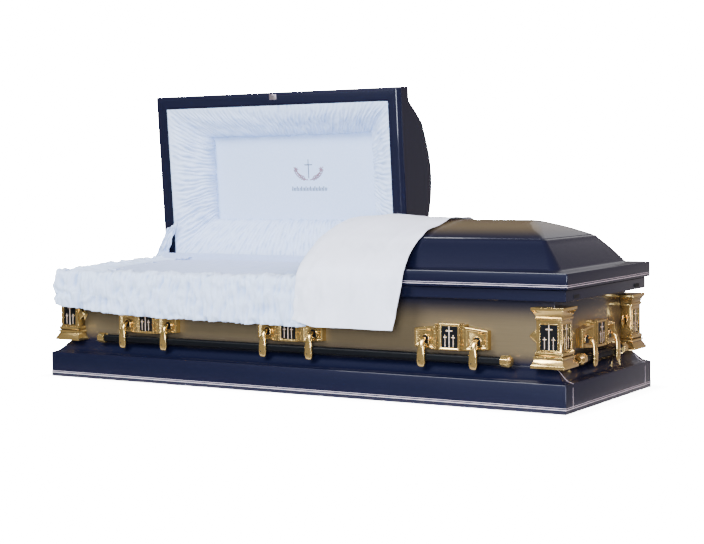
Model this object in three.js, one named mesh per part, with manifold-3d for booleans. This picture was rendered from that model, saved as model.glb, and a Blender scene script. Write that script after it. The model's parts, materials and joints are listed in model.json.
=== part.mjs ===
// Half-couch steel funeral casket with its head lid open.
// Millimetres, +Z up, +X towards the foot end, hinges along the back (+Y).
// The origin is the middle of the underside.
import * as THREE from 'three';
import { mergeVertices } from 'three/addons/utils/BufferGeometryUtils.js';
import Module from 'manifold-3d';

const wasm = await Module();
wasm.setup();

// Driving dimensions

const SHEET = 1.2; // 18-gauge steel
const GAP = 0.3; // left between pieces that touch
const BASE = { halfLength: 1054, halfWidth: 359, faceTop: 92, ledge: 9, ledgeTop: 95, ogee: 52, top: 137 };
const WALL = { halfLength: 988, halfWidth: 293, top: 380.5 };
const RAIL = { halfLength: 1043, halfWidth: 333, bottom: 345, top: 382, lip: 5 };
const PLUG = { from: 253, halfWidth: 20, z: 359, halfHeight: 6, proud: 2 };
const LID = {
  halfLength: 1055,
  halfWidth: 349,
  split: 104,
  splitGap: 4,
  bottom: 384,
  rimTop: 433,
  bevel: 2.5,
  ledge: 52,
  ledgeTop: 437,
  slopeInset: 58,
  slopeFoot: 441,
  shoulderInset: 138,
  shoulder: 531,
  domeInset: 146,
  domeFoot: 534.5,
  domeEndRun: 150,
  ridgeHalfWidth: 4,
  ridge: 588,
  rimCorner: 3,
  slopeCorner: 33,
  shoulderCorner: 14,
  domeCorner: 80,
  flange: 50,
  splitFlange: 60,
  openDegrees: 86,
};
const CATCH = { halfWidth: 16.5, y: [-343, -321], thick: 1.3, pegRadius: 3, pegLength: 9, pegDrop: 5 };
const HINGE = {
  y: 342,
  z: 378,
  radius: 4,
  sides: 8,
  knuckles: 3,
  endMargin: 60,
  play: 1,
  leaf: 1.3,
  railLeafDrop: 27,
  lidLeafHalf: 6,
  web: 3,
};
const PILLAR = { shaft: 38, back: 46, panelWidth: 60, panelFoot: 194, panelTop: 274, panelDepth: 4 };
const LEAF = { from: 9, out: 12, halfWidth: 17, halfDepth: 9, halfHeight: 23 };
const CROSS = {
  proud: 3.4,
  tall: 2.3,
  tallArm: 12,
  tallArmDown: 15,
  small: 1.8,
  smallArm: 6.5,
  smallFrom: 15,
  smallFoot: 3,
  smallTall: 38,
  smallArmDown: 8,
};
const HANDLES = { spacing: 627, towardsFoot: 5, sideBar: 851, endBar: 192 };
const EAR = {
  panelHalf: 29,
  panelFoot: 187,
  panelTop: 256,
  panelDepth: 4,
  middleHalf: 54,
  middleFoot: 176,
  middleTop: 263,
  innerOut: 31,
  innerFoot: 175,
  innerTop: 254,
  endHalf: 134,
  endOut: 26,
  endFoot: 182,
  endTop: 244,
  border: 8,
  fieldDepth: 3,
};
const ARM = { from: 95, pivotOut: 38, pivotZ: 212, eye: 9, eyeWide: 14, bore: 4.6, pin: 3.6 };
const CHEEK = { thick: 6, play: 1, rootOut: 18, noseOut: 46, halfHeight: 10 };
const BAR = { out: 34.5, z: 152, side: 26, chamfer: 5 };
const TIP = { length: 36, radius: 20, sides: 8 };
const BED = {
  halfLength: 960,
  halfWidth: 280,
  bottom: 292,
  headTop: 400,
  footTop: 376,
  headTilt: 0.05,
  bend: [-130, 20],
  endRound: 12,
};
const BED_FRAME = { inset: 20, rimWidth: 30, height: 28, slatHalf: 30, slatThick: 10, slatSpacing: 560 };
const APRON = { from: 100, to: 300, corner: 27 };
const THROW = { from: 60, to: 465, lift: 2.5, thick: 7 };
const LINING = { x: [-858, -101], y: [-184, 150], depth: 112, board: 6, boardEdge: 12, play: 2 };

// Finishes

const finish = (color, roughness, metalness) => ({ color, roughness, metalness });
const NAVY_PAINT = finish(0x1f2747, 0.25, 0.3);
const BRONZE_PAINT = finish(0x7d705a, 0.35, 0.7);
const GOLD_PLATE = finish(0xd9b56a, 0.25, 1.0);
const BLACK_PAINT = finish(0x14151d, 0.3, 0.2);
const STEEL = finish(0xb9bcc2, 0.35, 1.0);
const CREPE = finish(0xd3deea, 0.85, 0.0);
const SATIN = finish(0xdcdfee, 0.6, 0.0);
const RUBBER = finish(0x191a20, 0.8, 0.0);

const casket = new THREE.Group();

function addPiece(name, geometry, look, parent = casket) {
  geometry.deleteAttribute('uv');
  geometry.computeVertexNormals();
  const material = new THREE.MeshStandardMaterial({ ...look, flatShading: true });
  const mesh = new THREE.Mesh(geometry, material);
  mesh.name = name;
  parent.add(mesh);
}

// Shape tools

const radians = THREE.MathUtils.degToRad;
const lerp = THREE.MathUtils.lerp;
const point = (x, y, z) => new THREE.Vector3(x, y, z);

function ringNormal(ring) {
  const normal = point(0, 0, 0);
  ring.forEach((p, i) => normal.add(p.clone().cross(ring[(i + 1) % ring.length])));
  return normal;
}

// Triangles that close a ring, facing along its normal times the given sense.
function capTriangles(ring, sense) {
  const normal = ringNormal(ring);
  const size = normal.toArray().map(Math.abs);
  const drop = size.indexOf(Math.max(...size));
  const [u, v] = [(drop + 1) % 3, (drop + 2) % 3];
  const flat = ring.map((p) => new THREE.Vector2(p.getComponent(u), p.getComponent(v)));
  return THREE.ShapeUtils.triangulateShape(flat, []).map((triangle) => {
    const facing = ringNormal(triangle.map((i) => ring[i])).dot(normal) * sense;
    return facing > 0 ? triangle : [...triangle].reverse();
  });
}

function enclosedVolume(points, triangles) {
  return triangles.reduce((sum, [a, b, c]) => sum + points[a].dot(points[b].clone().cross(points[c])), 0);
}

// A closed skin over rings of equal count. A loop joins the last ring to the first, and
// otherwise both end rings are closed by caps.
function skin(rings, loop = false) {
  const count = rings[0].length;
  const points = rings.flat();
  const triangles = [];
  const lastJoin = loop ? rings.length : rings.length - 1;
  for (let i = 0; i < lastJoin; i += 1) {
    const here = i * count;
    const next = ((i + 1) % rings.length) * count;
    for (let j = 0; j < count; j += 1) {
      const k = (j + 1) % count;
      triangles.push([here + j, here + k, next + k], [here + j, next + k, next + j]);
    }
  }
  if (!loop) {
    const lastRing = (rings.length - 1) * count;
    triangles.push(...capTriangles(rings[0], -1));
    triangles.push(...capTriangles(rings.at(-1), 1).map((t) => t.map((i) => i + lastRing)));
  }
  const outward = enclosedVolume(points, triangles) > 0;
  const geometry = new THREE.BufferGeometry().setFromPoints(points);
  geometry.setIndex(triangles.flatMap((t) => (outward ? t : [...t].reverse())));
  return geometry;
}

// Only the places of the points, each kept once.
function bareGeometry(geometry) {
  const bare = geometry.clone();
  bare.deleteAttribute('normal');
  bare.deleteAttribute('uv');
  return mergeVertices(bare);
}

// A shape mirrored in X, in Y or in both, its faces still pointing out.
function mirrored(geometry, x, y) {
  const copy = bareGeometry(geometry).scale(x, y, 1);
  if (x * y < 0) {
    copy.setIndex(Array.from(copy.index.array).reverse());
  }
  return copy;
}

function toSolid(geometry) {
  const merged = bareGeometry(geometry);
  return new wasm.Manifold(
    new wasm.Mesh({
      numProp: 3,
      vertProperties: new Float32Array(merged.attributes.position.array),
      triVerts: new Uint32Array(merged.index.array),
    }),
  );
}

function toGeometry(solid) {
  const { vertProperties, triVerts } = solid.getMesh();
  const geometry = new THREE.BufferGeometry();
  geometry.setAttribute('position', new THREE.BufferAttribute(vertProperties, 3));
  geometry.setIndex(new THREE.BufferAttribute(triVerts, 1));
  return geometry;
}

const join = (geometries) => toGeometry(geometries.map(toSolid).reduce((a, b) => a.add(b)));
const cut = (geometry, tools) =>
  toGeometry(tools.map(toSolid).reduce((a, b) => a.subtract(b), toSolid(geometry)));

function box([x0, x1], [y0, y1], [z0, z1]) {
  const geometry = new THREE.BoxGeometry(x1 - x0, y1 - y0, z1 - z0);
  return geometry.translate((x0 + x1) / 2, (y0 + y1) / 2, (z0 + z1) / 2);
}

const span = (middle, half) => [middle - half, middle + half];

// A rectangle at one height, its corners in order round +Z.
function rectangle([x0, x1], [y0, y1], z) {
  return [point(x0, y0, z), point(x1, y0, z), point(x1, y1, z), point(x0, y1, z)];
}

const centredRectangle = (halfX, halfY, z) => rectangle([-halfX, halfX], [-halfY, halfY], z);

// A round bar along X, its flats set level.
function roundAlongX([x0, x1], y, z, radius, sides) {
  const geometry = new THREE.CylinderGeometry(radius, radius, x1 - x0, sides);
  return geometry.rotateY(Math.PI / sides).rotateZ(Math.PI / 2).translate((x0 + x1) / 2, y, z);
}

// Points of an open line moved sideways, to the left of its direction.
function offsetLine(line, distance) {
  return line.map((p, i) => {
    const before = line[Math.max(i - 1, 0)];
    const after = line[Math.min(i + 1, line.length - 1)];
    const into = i > 0 ? p.clone().sub(before).normalize() : after.clone().sub(p).normalize();
    const out = i < line.length - 1 ? after.clone().sub(p).normalize() : into;
    const bisector = into.clone().add(out).normalize();
    const side = new THREE.Vector2(-bisector.y, bisector.x);
    return p.clone().addScaledVector(side, distance / bisector.dot(into));
  });
}

// Base, body and rail

const OGEE_STEPS = 6;

function ogeeLine() {
  const curve = Array.from({ length: OGEE_STEPS + 1 }, (_, i) => {
    const t = i / OGEE_STEPS;
    const rise = (1 - Math.cos(Math.PI * t)) / 2;
    return [lerp(BASE.ledge, BASE.ogee, t), lerp(BASE.ledgeTop, BASE.top, rise)];
  });
  return [...curve, [BASE.halfWidth - WALL.halfWidth - GAP, BASE.top]];
}

function baseMoulding() {
  const ogee = ogeeLine();
  const innerInset = ogee.at(-1)[0];
  const outside = [[0, 0], [0, BASE.faceTop], ...ogee];
  const inside = [...ogee].reverse().map(([inset, z]) => [inset, z - SHEET]);
  const foot = [[SHEET, BASE.faceTop - SHEET], [SHEET, SHEET], [innerInset, SHEET], [innerInset, 0]];
  const rings = [...outside, ...inside, ...foot].map(([inset, z]) =>
    centredRectangle(BASE.halfLength - inset, BASE.halfWidth - inset, z));
  return skin(rings, true);
}

function bodyShell() {
  const wall = (inset, z) => centredRectangle(WALL.halfLength - inset, WALL.halfWidth - inset, z);
  return skin([wall(0, 0), wall(0, WALL.top), wall(SHEET, WALL.top), wall(SHEET, SHEET)]);
}

function topRail() {
  const ring = (inset, z) => centredRectangle(RAIL.halfLength - inset, RAIL.halfWidth - inset, z);
  const pastWall = (out, z) => centredRectangle(WALL.halfLength + out, WALL.halfWidth + out, z);
  return skin(
    [
      ring(0, RAIL.bottom),
      ring(0, RAIL.top),
      pastWall(-RAIL.lip, RAIL.top),
      pastWall(-RAIL.lip, RAIL.top - SHEET),
      ring(SHEET, RAIL.top - SHEET),
      ring(SHEET, RAIL.bottom + SHEET),
      pastWall(GAP, RAIL.bottom + SHEET),
      pastWall(GAP, RAIL.bottom),
    ],
    true,
  );
}

function railPlug(side) {
  const face = RAIL.halfLength + GAP;
  const across = span(side * PLUG.from, PLUG.halfWidth);
  return box([face, face + PLUG.proud], across, span(PLUG.z, PLUG.halfHeight));
}

addPiece('base_moulding', baseMoulding(), NAVY_PAINT);
addPiece('body_shell', bodyShell(), BRONZE_PAINT);
addPiece('top_rail', topRail(), NAVY_PAINT);
addPiece('rail_plug_front', railPlug(-1), RUBBER);
addPiece('rail_plug_back', railPlug(1), RUBBER);

// Lids: each is measured along its length from the split, and across it

const DOME_STEPS = 5;
const CORNER_POINTS = 3;
const ROUNDEST = 0.6; // a corner's radius against the half width there

function crownLine() {
  const stage = (inset, z, corner) => ({ end: inset, side: inset, z, corner });
  const dome = Array.from({ length: DOME_STEPS + 1 }, (_, i) => {
    const t = i / DOME_STEPS;
    const side = lerp(LID.domeInset, LID.halfWidth - LID.ridgeHalfWidth, t);
    return {
      end: LID.domeInset + LID.domeEndRun * t,
      side,
      z: lerp(LID.domeFoot, LID.ridge, Math.sin((t * Math.PI) / 2)),
      corner: Math.min(lerp(LID.shoulderCorner, LID.domeCorner, t), ROUNDEST * (LID.halfWidth - side)),
    };
  });
  return [
    stage(0, LID.bottom, LID.rimCorner),
    stage(0, LID.rimTop, LID.rimCorner),
    stage(LID.bevel, LID.rimTop + LID.bevel, LID.rimCorner),
    stage(LID.ledge, LID.ledgeTop, LID.slopeCorner),
    stage(LID.slopeInset, LID.slopeFoot, LID.slopeCorner),
    stage(LID.shoulderInset, LID.shoulder, LID.shoulderCorner),
    ...dome,
  ];
}

function lidRing(length, { end, side, z, corner }, fromSplit) {
  const farEnd = length - end;
  const half = LID.halfWidth - side;
  const arc = (turn, y) => Array.from({ length: CORNER_POINTS }, (_, i) => {
    const angle = turn + (i / (CORNER_POINTS - 1)) * (Math.PI / 2);
    return point(farEnd - corner + corner * Math.cos(angle), y + corner * Math.sin(angle), z);
  });
  return [
    point(fromSplit, -half, z),
    ...arc(-Math.PI / 2, corner - half),
    ...arc(0, half - corner),
    point(fromSplit, half, z),
  ];
}

// Sheet shell, open below inside a flat flange, with a wall across at the split.
function lidShell(length) {
  const line = crownLine();
  const outside = [...line].reverse().map((stage) => lidRing(length, stage, 0));
  const mouth = { end: LID.flange, side: LID.flange, corner: LID.rimCorner };
  const flange = [LID.bottom, LID.bottom + SHEET].map((z) =>
    lidRing(length, { ...mouth, z }, LID.splitFlange));
  const inside = line.map((stage, i) => {
    const z = i === 0 ? stage.z + SHEET : stage.z - SHEET;
    return lidRing(length, { ...stage, end: stage.end + SHEET, side: stage.side + SHEET, z }, SHEET);
  });
  return skin([...outside, ...flange, ...inside]);
}

const headLid = new THREE.Group();
headLid.position.set(0, HINGE.y, HINGE.z);
headLid.rotation.x = -radians(LID.openDegrees);
casket.add(headLid);

// Closed-lid pieces of the head lid, moved so that the hinge line is their origin.
const addToHeadLid = (name, geometry, look) =>
  addPiece(name, geometry.translate(0, -HINGE.y, -HINGE.z), look, headLid);

const footSplit = LID.split + LID.splitGap / 2;
const headSplit = LID.split - LID.splitGap / 2;
addPiece('foot_lid_shell', lidShell(LID.halfLength - footSplit).translate(footSplit, 0, 0), NAVY_PAINT);
addToHeadLid(
  'head_lid_shell',
  lidShell(LID.halfLength + headSplit).rotateZ(Math.PI).translate(headSplit, 0, 0),
  NAVY_PAINT,
);

// Catch on the middle of the head lid's front flange

function lidCatch() {
  const middle = (headSplit - LID.halfLength) / 2;
  const under = LID.bottom - GAP;
  const plate = box(span(middle, CATCH.halfWidth), CATCH.y, [under - CATCH.thick, under]);
  const peg = new THREE.CylinderGeometry(CATCH.pegRadius, CATCH.pegRadius, CATCH.pegLength, 8);
  peg.rotateX(Math.PI / 2);
  return join([plate, peg.translate(middle, CATCH.y[0] + CATCH.pegRadius, under - CATCH.pegDrop)]);
}

addToHeadLid('lid_catch', lidCatch(), STEEL);

// Hinges: long knuckles taken in turn by the rail's leaf and the lid's leaf

function knuckleSpans([x0, x1], parity) {
  const length = (x1 - x0) / HINGE.knuckles;
  return Array.from({ length: HINGE.knuckles }, (_, i) => i)
    .filter((i) => i % 2 === parity)
    .map((i) => [x0 + length * i + HINGE.play, x0 + length * (i + 1) - HINGE.play]);
}

function railLeaf(range) {
  const back = RAIL.halfWidth + GAP;
  const leaf = box(range, [back, back + HINGE.leaf], [HINGE.z - HINGE.railLeafDrop, HINGE.z]);
  const knuckles = knuckleSpans(range, 0).flatMap((x) => [
    roundAlongX(x, HINGE.y, HINGE.z, HINGE.radius, HINGE.sides),
    box(x, [back, HINGE.y], [HINGE.z - HINGE.web / 2, HINGE.z]),
  ]);
  return join([leaf, ...knuckles]);
}

function lidLeaf(range) {
  const top = LID.bottom - GAP;
  const leaf = box(range, span(HINGE.y, HINGE.lidLeafHalf), [top - HINGE.leaf, top]);
  const knuckles = knuckleSpans(range, 1).flatMap((x) => [
    roundAlongX(x, HINGE.y, HINGE.z, HINGE.radius, HINGE.sides),
    box(x, span(HINGE.y, HINGE.web / 2), [HINGE.z, top - HINGE.leaf / 2]),
  ]);
  return join([leaf, ...knuckles]);
}

const headHinge = [HINGE.endMargin - LID.halfLength, headSplit - HINGE.endMargin];
const footHinge = [footSplit + HINGE.endMargin, LID.halfLength - HINGE.endMargin];
addPiece('hinge_head_rail_leaf', railLeaf(headHinge), STEEL);
addPiece('hinge_foot_rail_leaf', railLeaf(footHinge), STEEL);
addPiece('hinge_foot_lid_leaf', lidLeaf(footHinge), STEEL);
addToHeadLid('hinge_head_lid_leaf', lidLeaf(headHinge), STEEL);

// Three crosses on a sunk panel, the middle one its full height. Measured across, out and up.

function crosses(middle, floor, [foot, top]) {
  const out = [floor - 1, floor + CROSS.proud];
  const tall = [
    box(span(middle, CROSS.tall), out, [foot - 1, top + 1]),
    box(span(middle, CROSS.tallArm), out, span(top - CROSS.tallArmDown, CROSS.tall)),
  ];
  const smallFoot = foot + CROSS.smallFoot;
  const smallTop = smallFoot + CROSS.smallTall;
  const small = [-1, 1].flatMap((side) => {
    const x = middle + side * CROSS.smallFrom;
    return [
      box(span(x, CROSS.small), out, [smallFoot, smallTop]),
      box(span(x, CROSS.smallArm), out, span(smallTop - CROSS.smallArmDown, CROSS.small)),
    ];
  });
  return [...tall, ...small];
}

// Corner pillars: an L of cast metal round each corner of the body.
// Each stage has its height, how far it stands out from the wall, and how far it runs back.

const PILLAR_STAGES = [
  [137.3, 54, 60], [146, 54, 60], [153, 49, 55], [166, 42, 50], [166, 46, 53], [173, 46, 53],
  [174, 41, 48], [179, 44, 50], [186, 44, 50], [190, 38, 46],
  [287, 38, 46], [289, 42, 48], [295, 42, 48], [298, 39, 46.5],
  [311, 44, 53], [318.5, 50, 60], [327, 50, 60],
];

function pillarRing([z, out, back]) {
  return [
    point(out, out, z),
    point(-back, out, z),
    point(-back, GAP, z),
    point(GAP, GAP, z),
    point(GAP, -back, z),
    point(out, -back, z),
  ];
}

// A shape measured across and out, turned to the other face of the corner.
const otherFace = (geometry) => mirrored(geometry, 1, -1).rotateZ(Math.PI / 2);

function cornerPillar() {
  const middle = (PILLAR.shaft - PILLAR.back) / 2;
  const floor = PILLAR.shaft - PILLAR.panelDepth;
  const height = [PILLAR.panelFoot, PILLAR.panelTop];
  const recess = box(span(middle, PILLAR.panelWidth / 2), [floor, 2 * PILLAR.shaft], height);
  const raised = crosses(middle, floor, height);
  const both = (shapes) => [...shapes, ...shapes.map(otherFace)];
  const ornament = new THREE.OctahedronGeometry(1).scale(LEAF.halfWidth, LEAF.halfDepth, LEAF.halfHeight);
  const leaf = ornament.translate(-PILLAR.back - LEAF.from, LEAF.out, (height[0] + height[1]) / 2);
  const bare = cut(skin(PILLAR_STAGES.map(pillarRing)), both([recess]));
  const wall = box([-WALL.halfWidth, GAP], [-PILLAR.shaft, GAP], [0, WALL.top]);
  return cut(join([bare, ...both([...raised, leaf])]), both([wall]));
}

const pillarShape = cornerPillar();
for (const [end, x] of [['head', -1], ['foot', 1]]) {
  for (const [side, y] of [['front', -1], ['back', 1]]) {
    const shape = mirrored(pillarShape, x, y);
    shape.translate(x * WALL.halfLength, y * WALL.halfWidth, 0);
    addPiece(`pillar_${end}_${side}`, shape, GOLD_PLATE);
  }
}

// Handles: ears on the wall, and a bar on swing arms that hang from them.
// Each set is drawn against a wall along X with its outer side towards -Y.

// Right half of an ear's middle seen from above: the edge of its panel, then a rib. Across and out.
const EAR_MIDDLE = [[38, 36], [42, 32.5], [46, 35], [51, 31.5], [54, 31]];

function earMiddle() {
  const right = EAR_MIDDLE.map(([x, out]) => new THREE.Vector2(x, out));
  const left = EAR_MIDDLE.map(([x, out]) => new THREE.Vector2(-x, out)).reverse();
  const back = [new THREE.Vector2(EAR.middleHalf, GAP), new THREE.Vector2(-EAR.middleHalf, GAP)];
  const plan = new THREE.Shape([...right, ...back, ...left]);
  const depth = EAR.middleTop - EAR.middleFoot;
  return new THREE.ExtrudeGeometry(plan, { depth, bevelEnabled: false }).translate(0, 0, EAR.middleFoot);
}

// A side plate tapers from the middle to its end. Inset by the border, it is the plate's sunk field.
function earPlate(inset, [from, to]) {
  const ring = (x, out, foot, top) => [
    point(x, from(out), foot + inset),
    point(x, to(out), foot + inset),
    point(x, to(out), top - inset),
    point(x, from(out), top - inset),
  ];
  const start = inset ? EAR.middleHalf + inset : EAR.middleHalf - 1;
  return skin([
    ring(start, EAR.innerOut, EAR.innerFoot, EAR.innerTop),
    ring(EAR.endHalf - inset, EAR.endOut, EAR.endFoot, EAR.endTop),
  ]);
}

function earShape() {
  const floor = EAR_MIDDLE[0][1] - EAR.panelDepth;
  const panel = [EAR.panelFoot, EAR.panelTop];
  const hollow = box(span(0, EAR.panelHalf), [floor, 2 * floor], panel);
  const plate = earPlate(0, [() => GAP, (out) => out]);
  const field = earPlate(EAR.border, [(out) => out - EAR.fieldDepth, (out) => out + EAR.fieldDepth]);
  const both = (shape) => [shape, mirrored(shape, -1, 1)];
  const body = cut(join([earMiddle(), ...both(plate)]), [hollow, ...both(field)]);
  const fromEye = ARM.eyeWide / 2 + CHEEK.play;
  const cheeks = [-1, 1].flatMap((side) => [-1, 1].map((cheek) => {
    const x = side * ARM.from + cheek * (fromEye + CHEEK.thick / 2);
    return box(span(x, CHEEK.thick / 2), [CHEEK.rootOut, CHEEK.noseOut], span(ARM.pivotZ, CHEEK.halfHeight));
  }));
  const pins = [-1, 1].map((side) =>
    roundAlongX(span(side * ARM.from, fromEye + CHEEK.thick / 2), ARM.pivotOut, ARM.pivotZ, ARM.pin, 4));
  return mirrored(join([body, ...cheeks, ...pins, ...crosses(0, floor, panel)]), 1, -1);
}

// Leaf-shaped strap: height, middle of its thickness, half thickness and half width.
const ARM_STAGES = [
  [206, 41, 4, 6.5], [194, 47, 4.5, 8], [174, 51.5, 3.7, 12.5], [144, 52, 3.7, 14.5], [121, 51, 3, 11],
];

function armRing([z, out, half, wide]) {
  return [
    point(-wide, out - half, z),
    point(wide, out - half, z),
    point(wide, out, z),
    point(0, out + half, z),
    point(-wide, out, z),
  ];
}

function armShape() {
  const eye = roundAlongX(span(0, ARM.eyeWide / 2), ARM.pivotOut, ARM.pivotZ, ARM.eye, 7);
  const bore = roundAlongX(span(0, ARM.eyeWide), ARM.pivotOut, ARM.pivotZ, ARM.bore, 6);
  const strap = cut(join([eye, skin(ARM_STAGES.map(armRing))]), [bore]);
  return mirrored(strap, 1, -1);
}

function barShape(half) {
  const reach = BAR.side / 2;
  const flat = reach - BAR.chamfer;
  const section = [[flat, reach], [reach, flat], [reach, -flat], [flat, -reach]];
  const outline = [...section, ...section.map(([y, z]) => [-y, -z])];
  const ring = (x) => outline.map(([y, z]) => point(x, y - BAR.out, z + BAR.z));
  return skin([ring(TIP.length - half), ring(half - TIP.length)]);
}

// Outline of a tip, as shares of its radius and of its length.
const TIP_LINE = [[0, 0], [0.95, 0], [1, 0.75], [0.6, 1], [0, 1]];

function tipShape(side, half) {
  const line = TIP_LINE.map(([out, along]) => new THREE.Vector2(out * TIP.radius, along * TIP.length));
  const lathed = new THREE.LatheGeometry(line, TIP.sides).rotateY(Math.PI / TIP.sides);
  const turned = lathed.rotateZ((-side * Math.PI) / 2);
  return turned.translate(side * (half - TIP.length + GAP), -BAR.out, BAR.z);
}

const ear = earShape();
const arm = armShape();

function addHandleSet(name, turn, x, y, earPlaces, half) {
  const set = new THREE.Group();
  set.position.set(x, y, 0);
  set.rotation.z = turn;
  casket.add(set);
  earPlaces.forEach((place, i) => {
    const label = earPlaces.length > 1 ? `${name}_${i + 1}` : name;
    addPiece(`ear_${label}`, ear.clone().translate(place, 0, 0), GOLD_PLATE, set);
    for (const [letter, side] of [['a', -1], ['b', 1]]) {
      const strap = arm.clone().translate(place + side * ARM.from, 0, 0);
      addPiece(`arm_${label}_${letter}`, strap, GOLD_PLATE, set);
    }
  });
  addPiece(`bar_${name}`, barShape(half), BLACK_PAINT, set);
  addPiece(`tip_${name}_a`, tipShape(-1, half), GOLD_PLATE, set);
  addPiece(`tip_${name}_b`, tipShape(1, half), GOLD_PLATE, set);
}

const sideEars = [-HANDLES.spacing, 0, HANDLES.spacing];
addHandleSet('front', 0, HANDLES.towardsFoot, -WALL.halfWidth, sideEars, HANDLES.sideBar);
addHandleSet('back', Math.PI, HANDLES.towardsFoot, WALL.halfWidth, sideEars, HANDLES.sideBar);
addHandleSet('foot', Math.PI / 2, WALL.halfLength, 0, [0], HANDLES.endBar);
addHandleSet('head', -Math.PI / 2, -WALL.halfLength, 0, [0], HANDLES.endBar);

// Bed: a mattress on a steel frame with legs, raised at the head and tilted there to the front

// Half of the mattress's section: how far in from its edge, and how far below its top.
const MATTRESS_LINE = [[60, 0], [9, 10], [0, 26], [0, 70], [8, 84]];

function mattress() {
  const headRise = BED.headTop - BED.footTop;
  const station = ([x, shrink, lift]) => {
    const edge = (side, inset, drop) => {
      const y = side * (BED.halfWidth - inset - shrink);
      const share = lift * (1 - drop / (BED.footTop - BED.bottom));
      return point(x, y, BED.footTop - drop - shrink / 2 + share * (headRise + BED.headTilt * y));
    };
    const near = MATTRESS_LINE.map(([inset, drop]) => edge(-1, inset, drop));
    const far = MATTRESS_LINE.map(([inset, drop]) => edge(1, inset, drop));
    return [...near, ...far.reverse()];
  };
  const end = BED.halfLength;
  const shoulder = end - BED.endRound;
  return skin(
    [
      [-end, BED.endRound, 1],
      [-shoulder, 0, 1],
      [BED.bend[0], 0, 1],
      [BED.bend[1], 0, 0],
      [shoulder, 0, 0],
      [end, BED.endRound, 0],
    ].map(station),
  );
}

function bedFrame() {
  const top = BED.bottom - GAP;
  const foot = top - BED_FRAME.height;
  const halfLength = BED.halfLength - BED_FRAME.inset;
  const halfWidth = BED.halfWidth - BED_FRAME.inset;
  const half = BED_FRAME.rimWidth / 2;
  const ring = (inset, z) => centredRectangle(halfLength - inset, halfWidth - inset, z);
  const rim = skin([ring(0, foot), ring(0, top), ring(2 * half, top), ring(2 * half, foot)], true);
  const slats = [-1, 0, 1].map((place) => {
    const along = span(place * BED_FRAME.slatSpacing, BED_FRAME.slatHalf);
    return box(along, span(0, halfWidth - half), [top - BED_FRAME.slatThick, top]);
  });
  const legHeight = [SHEET + GAP, foot + half];
  const legs = [-1, 1].flatMap((x) => [-1, 1].map((y) =>
    box(span(x * (halfLength - half), half), span(y * (halfWidth - half), half), legHeight)));
  return join([rim, ...slats, ...legs]);
}

addPiece('bed_frame', bedFrame(), STEEL);
addPiece('mattress', mattress(), CREPE);

// Apron: a cloth band folded out over the front and head rails.
// Its section is measured outwards from the rail's edge, and up.

const APRON_LINE = [
  [-24, 388], [-12, 399], [6, 403], [22, 395], [31, 372], [35, 330], [36, 285], [36, 243],
  [25, 243], [24, 285], [22, 330], [19, 366], [11, 384.5], [-24, 384.5],
];
const APRON_TURN_STEPS = 4;

function apron() {
  const x = -RAIL.halfLength;
  const y = -RAIL.halfWidth;
  const corner = APRON.corner;
  const section = (atX, atY, angle, reach) => APRON_LINE.map(([out, z]) =>
    point(atX + (out + reach) * Math.cos(angle), atY + (out + reach) * Math.sin(angle), z));
  const front = [APRON.from, x / 2].map((atX) => section(atX, y, -Math.PI / 2, 0));
  const turn = Array.from({ length: APRON_TURN_STEPS + 1 }, (_, i) =>
    section(x + corner, y + corner, -Math.PI / 2 - ((i / APRON_TURN_STEPS) * Math.PI) / 2, corner));
  const head = section(x, APRON.to, -Math.PI, 0);
  return skin([...front, ...turn, head]);
}

// Gusset: a gathered tail from the apron's back end up to the open lid's flange.

// Each stage has its middle, its height, and half its width and thickness.
const GUSSET_STAGES = [
  [-1062, 322, 408, 22, 12],
  [-1052, 322, 440, 20, 11],
  [-1022, 321, 500, 15, 10],
  [-1000, 319, 542, 8, 6],
];

function gusset() {
  const rings = GUSSET_STAGES.map(([x, y, z, wide, thick]) =>
    rectangle(span(x, wide), span(y, thick), z));
  return skin(rings);
}

addPiece('apron', apron(), CREPE);
addPiece('gusset', gusset(), CREPE);

// Head lid lining: a puffed roll from the flange down to a flat panel

const ROLL_STEPS = 5;
const ROLL_CLOTH = 4; // thickness of the roll's thin edge
const ROLL_BEHIND = 0.04; // how far towards the panel the roll's back edge starts

function liningRoll() {
  const edge = LID.flange + LINING.play;
  const mouthX = [edge - LID.halfLength, headSplit - LID.splitFlange - LINING.play];
  const mouthY = span(0, LID.halfWidth - edge);
  const front = LID.bottom + SHEET + LINING.play;
  const back = LID.bottom + LINING.depth;
  const towardsPanel = (t, z) => rectangle(
    mouthX.map((x, i) => lerp(x, LINING.x[i], t)),
    mouthY.map((y, i) => lerp(y, LINING.y[i], t)),
    z,
  );
  const puffed = Array.from({ length: ROLL_STEPS + 1 }, (_, i) => {
    const angle = ((i / ROLL_STEPS) * Math.PI) / 2;
    return towardsPanel(Math.sin(angle), lerp(back - ROLL_CLOTH, front, Math.cos(angle)));
  });
  return skin([...puffed, towardsPanel(1, back), towardsPanel(ROLL_BEHIND, front + 2 * ROLL_CLOTH)], true);
}

function liningPanel() {
  const foot = LID.bottom + LINING.depth + GAP;
  const grow = ([lo, hi]) => [lo - LINING.boardEdge, hi + LINING.boardEdge];
  return box(grow(LINING.x), grow(LINING.y), [foot, foot + LINING.board]);
}

addToHeadLid('lid_lining_roll', liningRoll(), CREPE);
addToHeadLid('lid_lining_panel', liningPanel(), CREPE);

// Throw: a smooth cloth laid over the foot lid next to the split, hanging down the front

const THROW_HANG = [[-386, 240], [-373, 385]];

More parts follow.
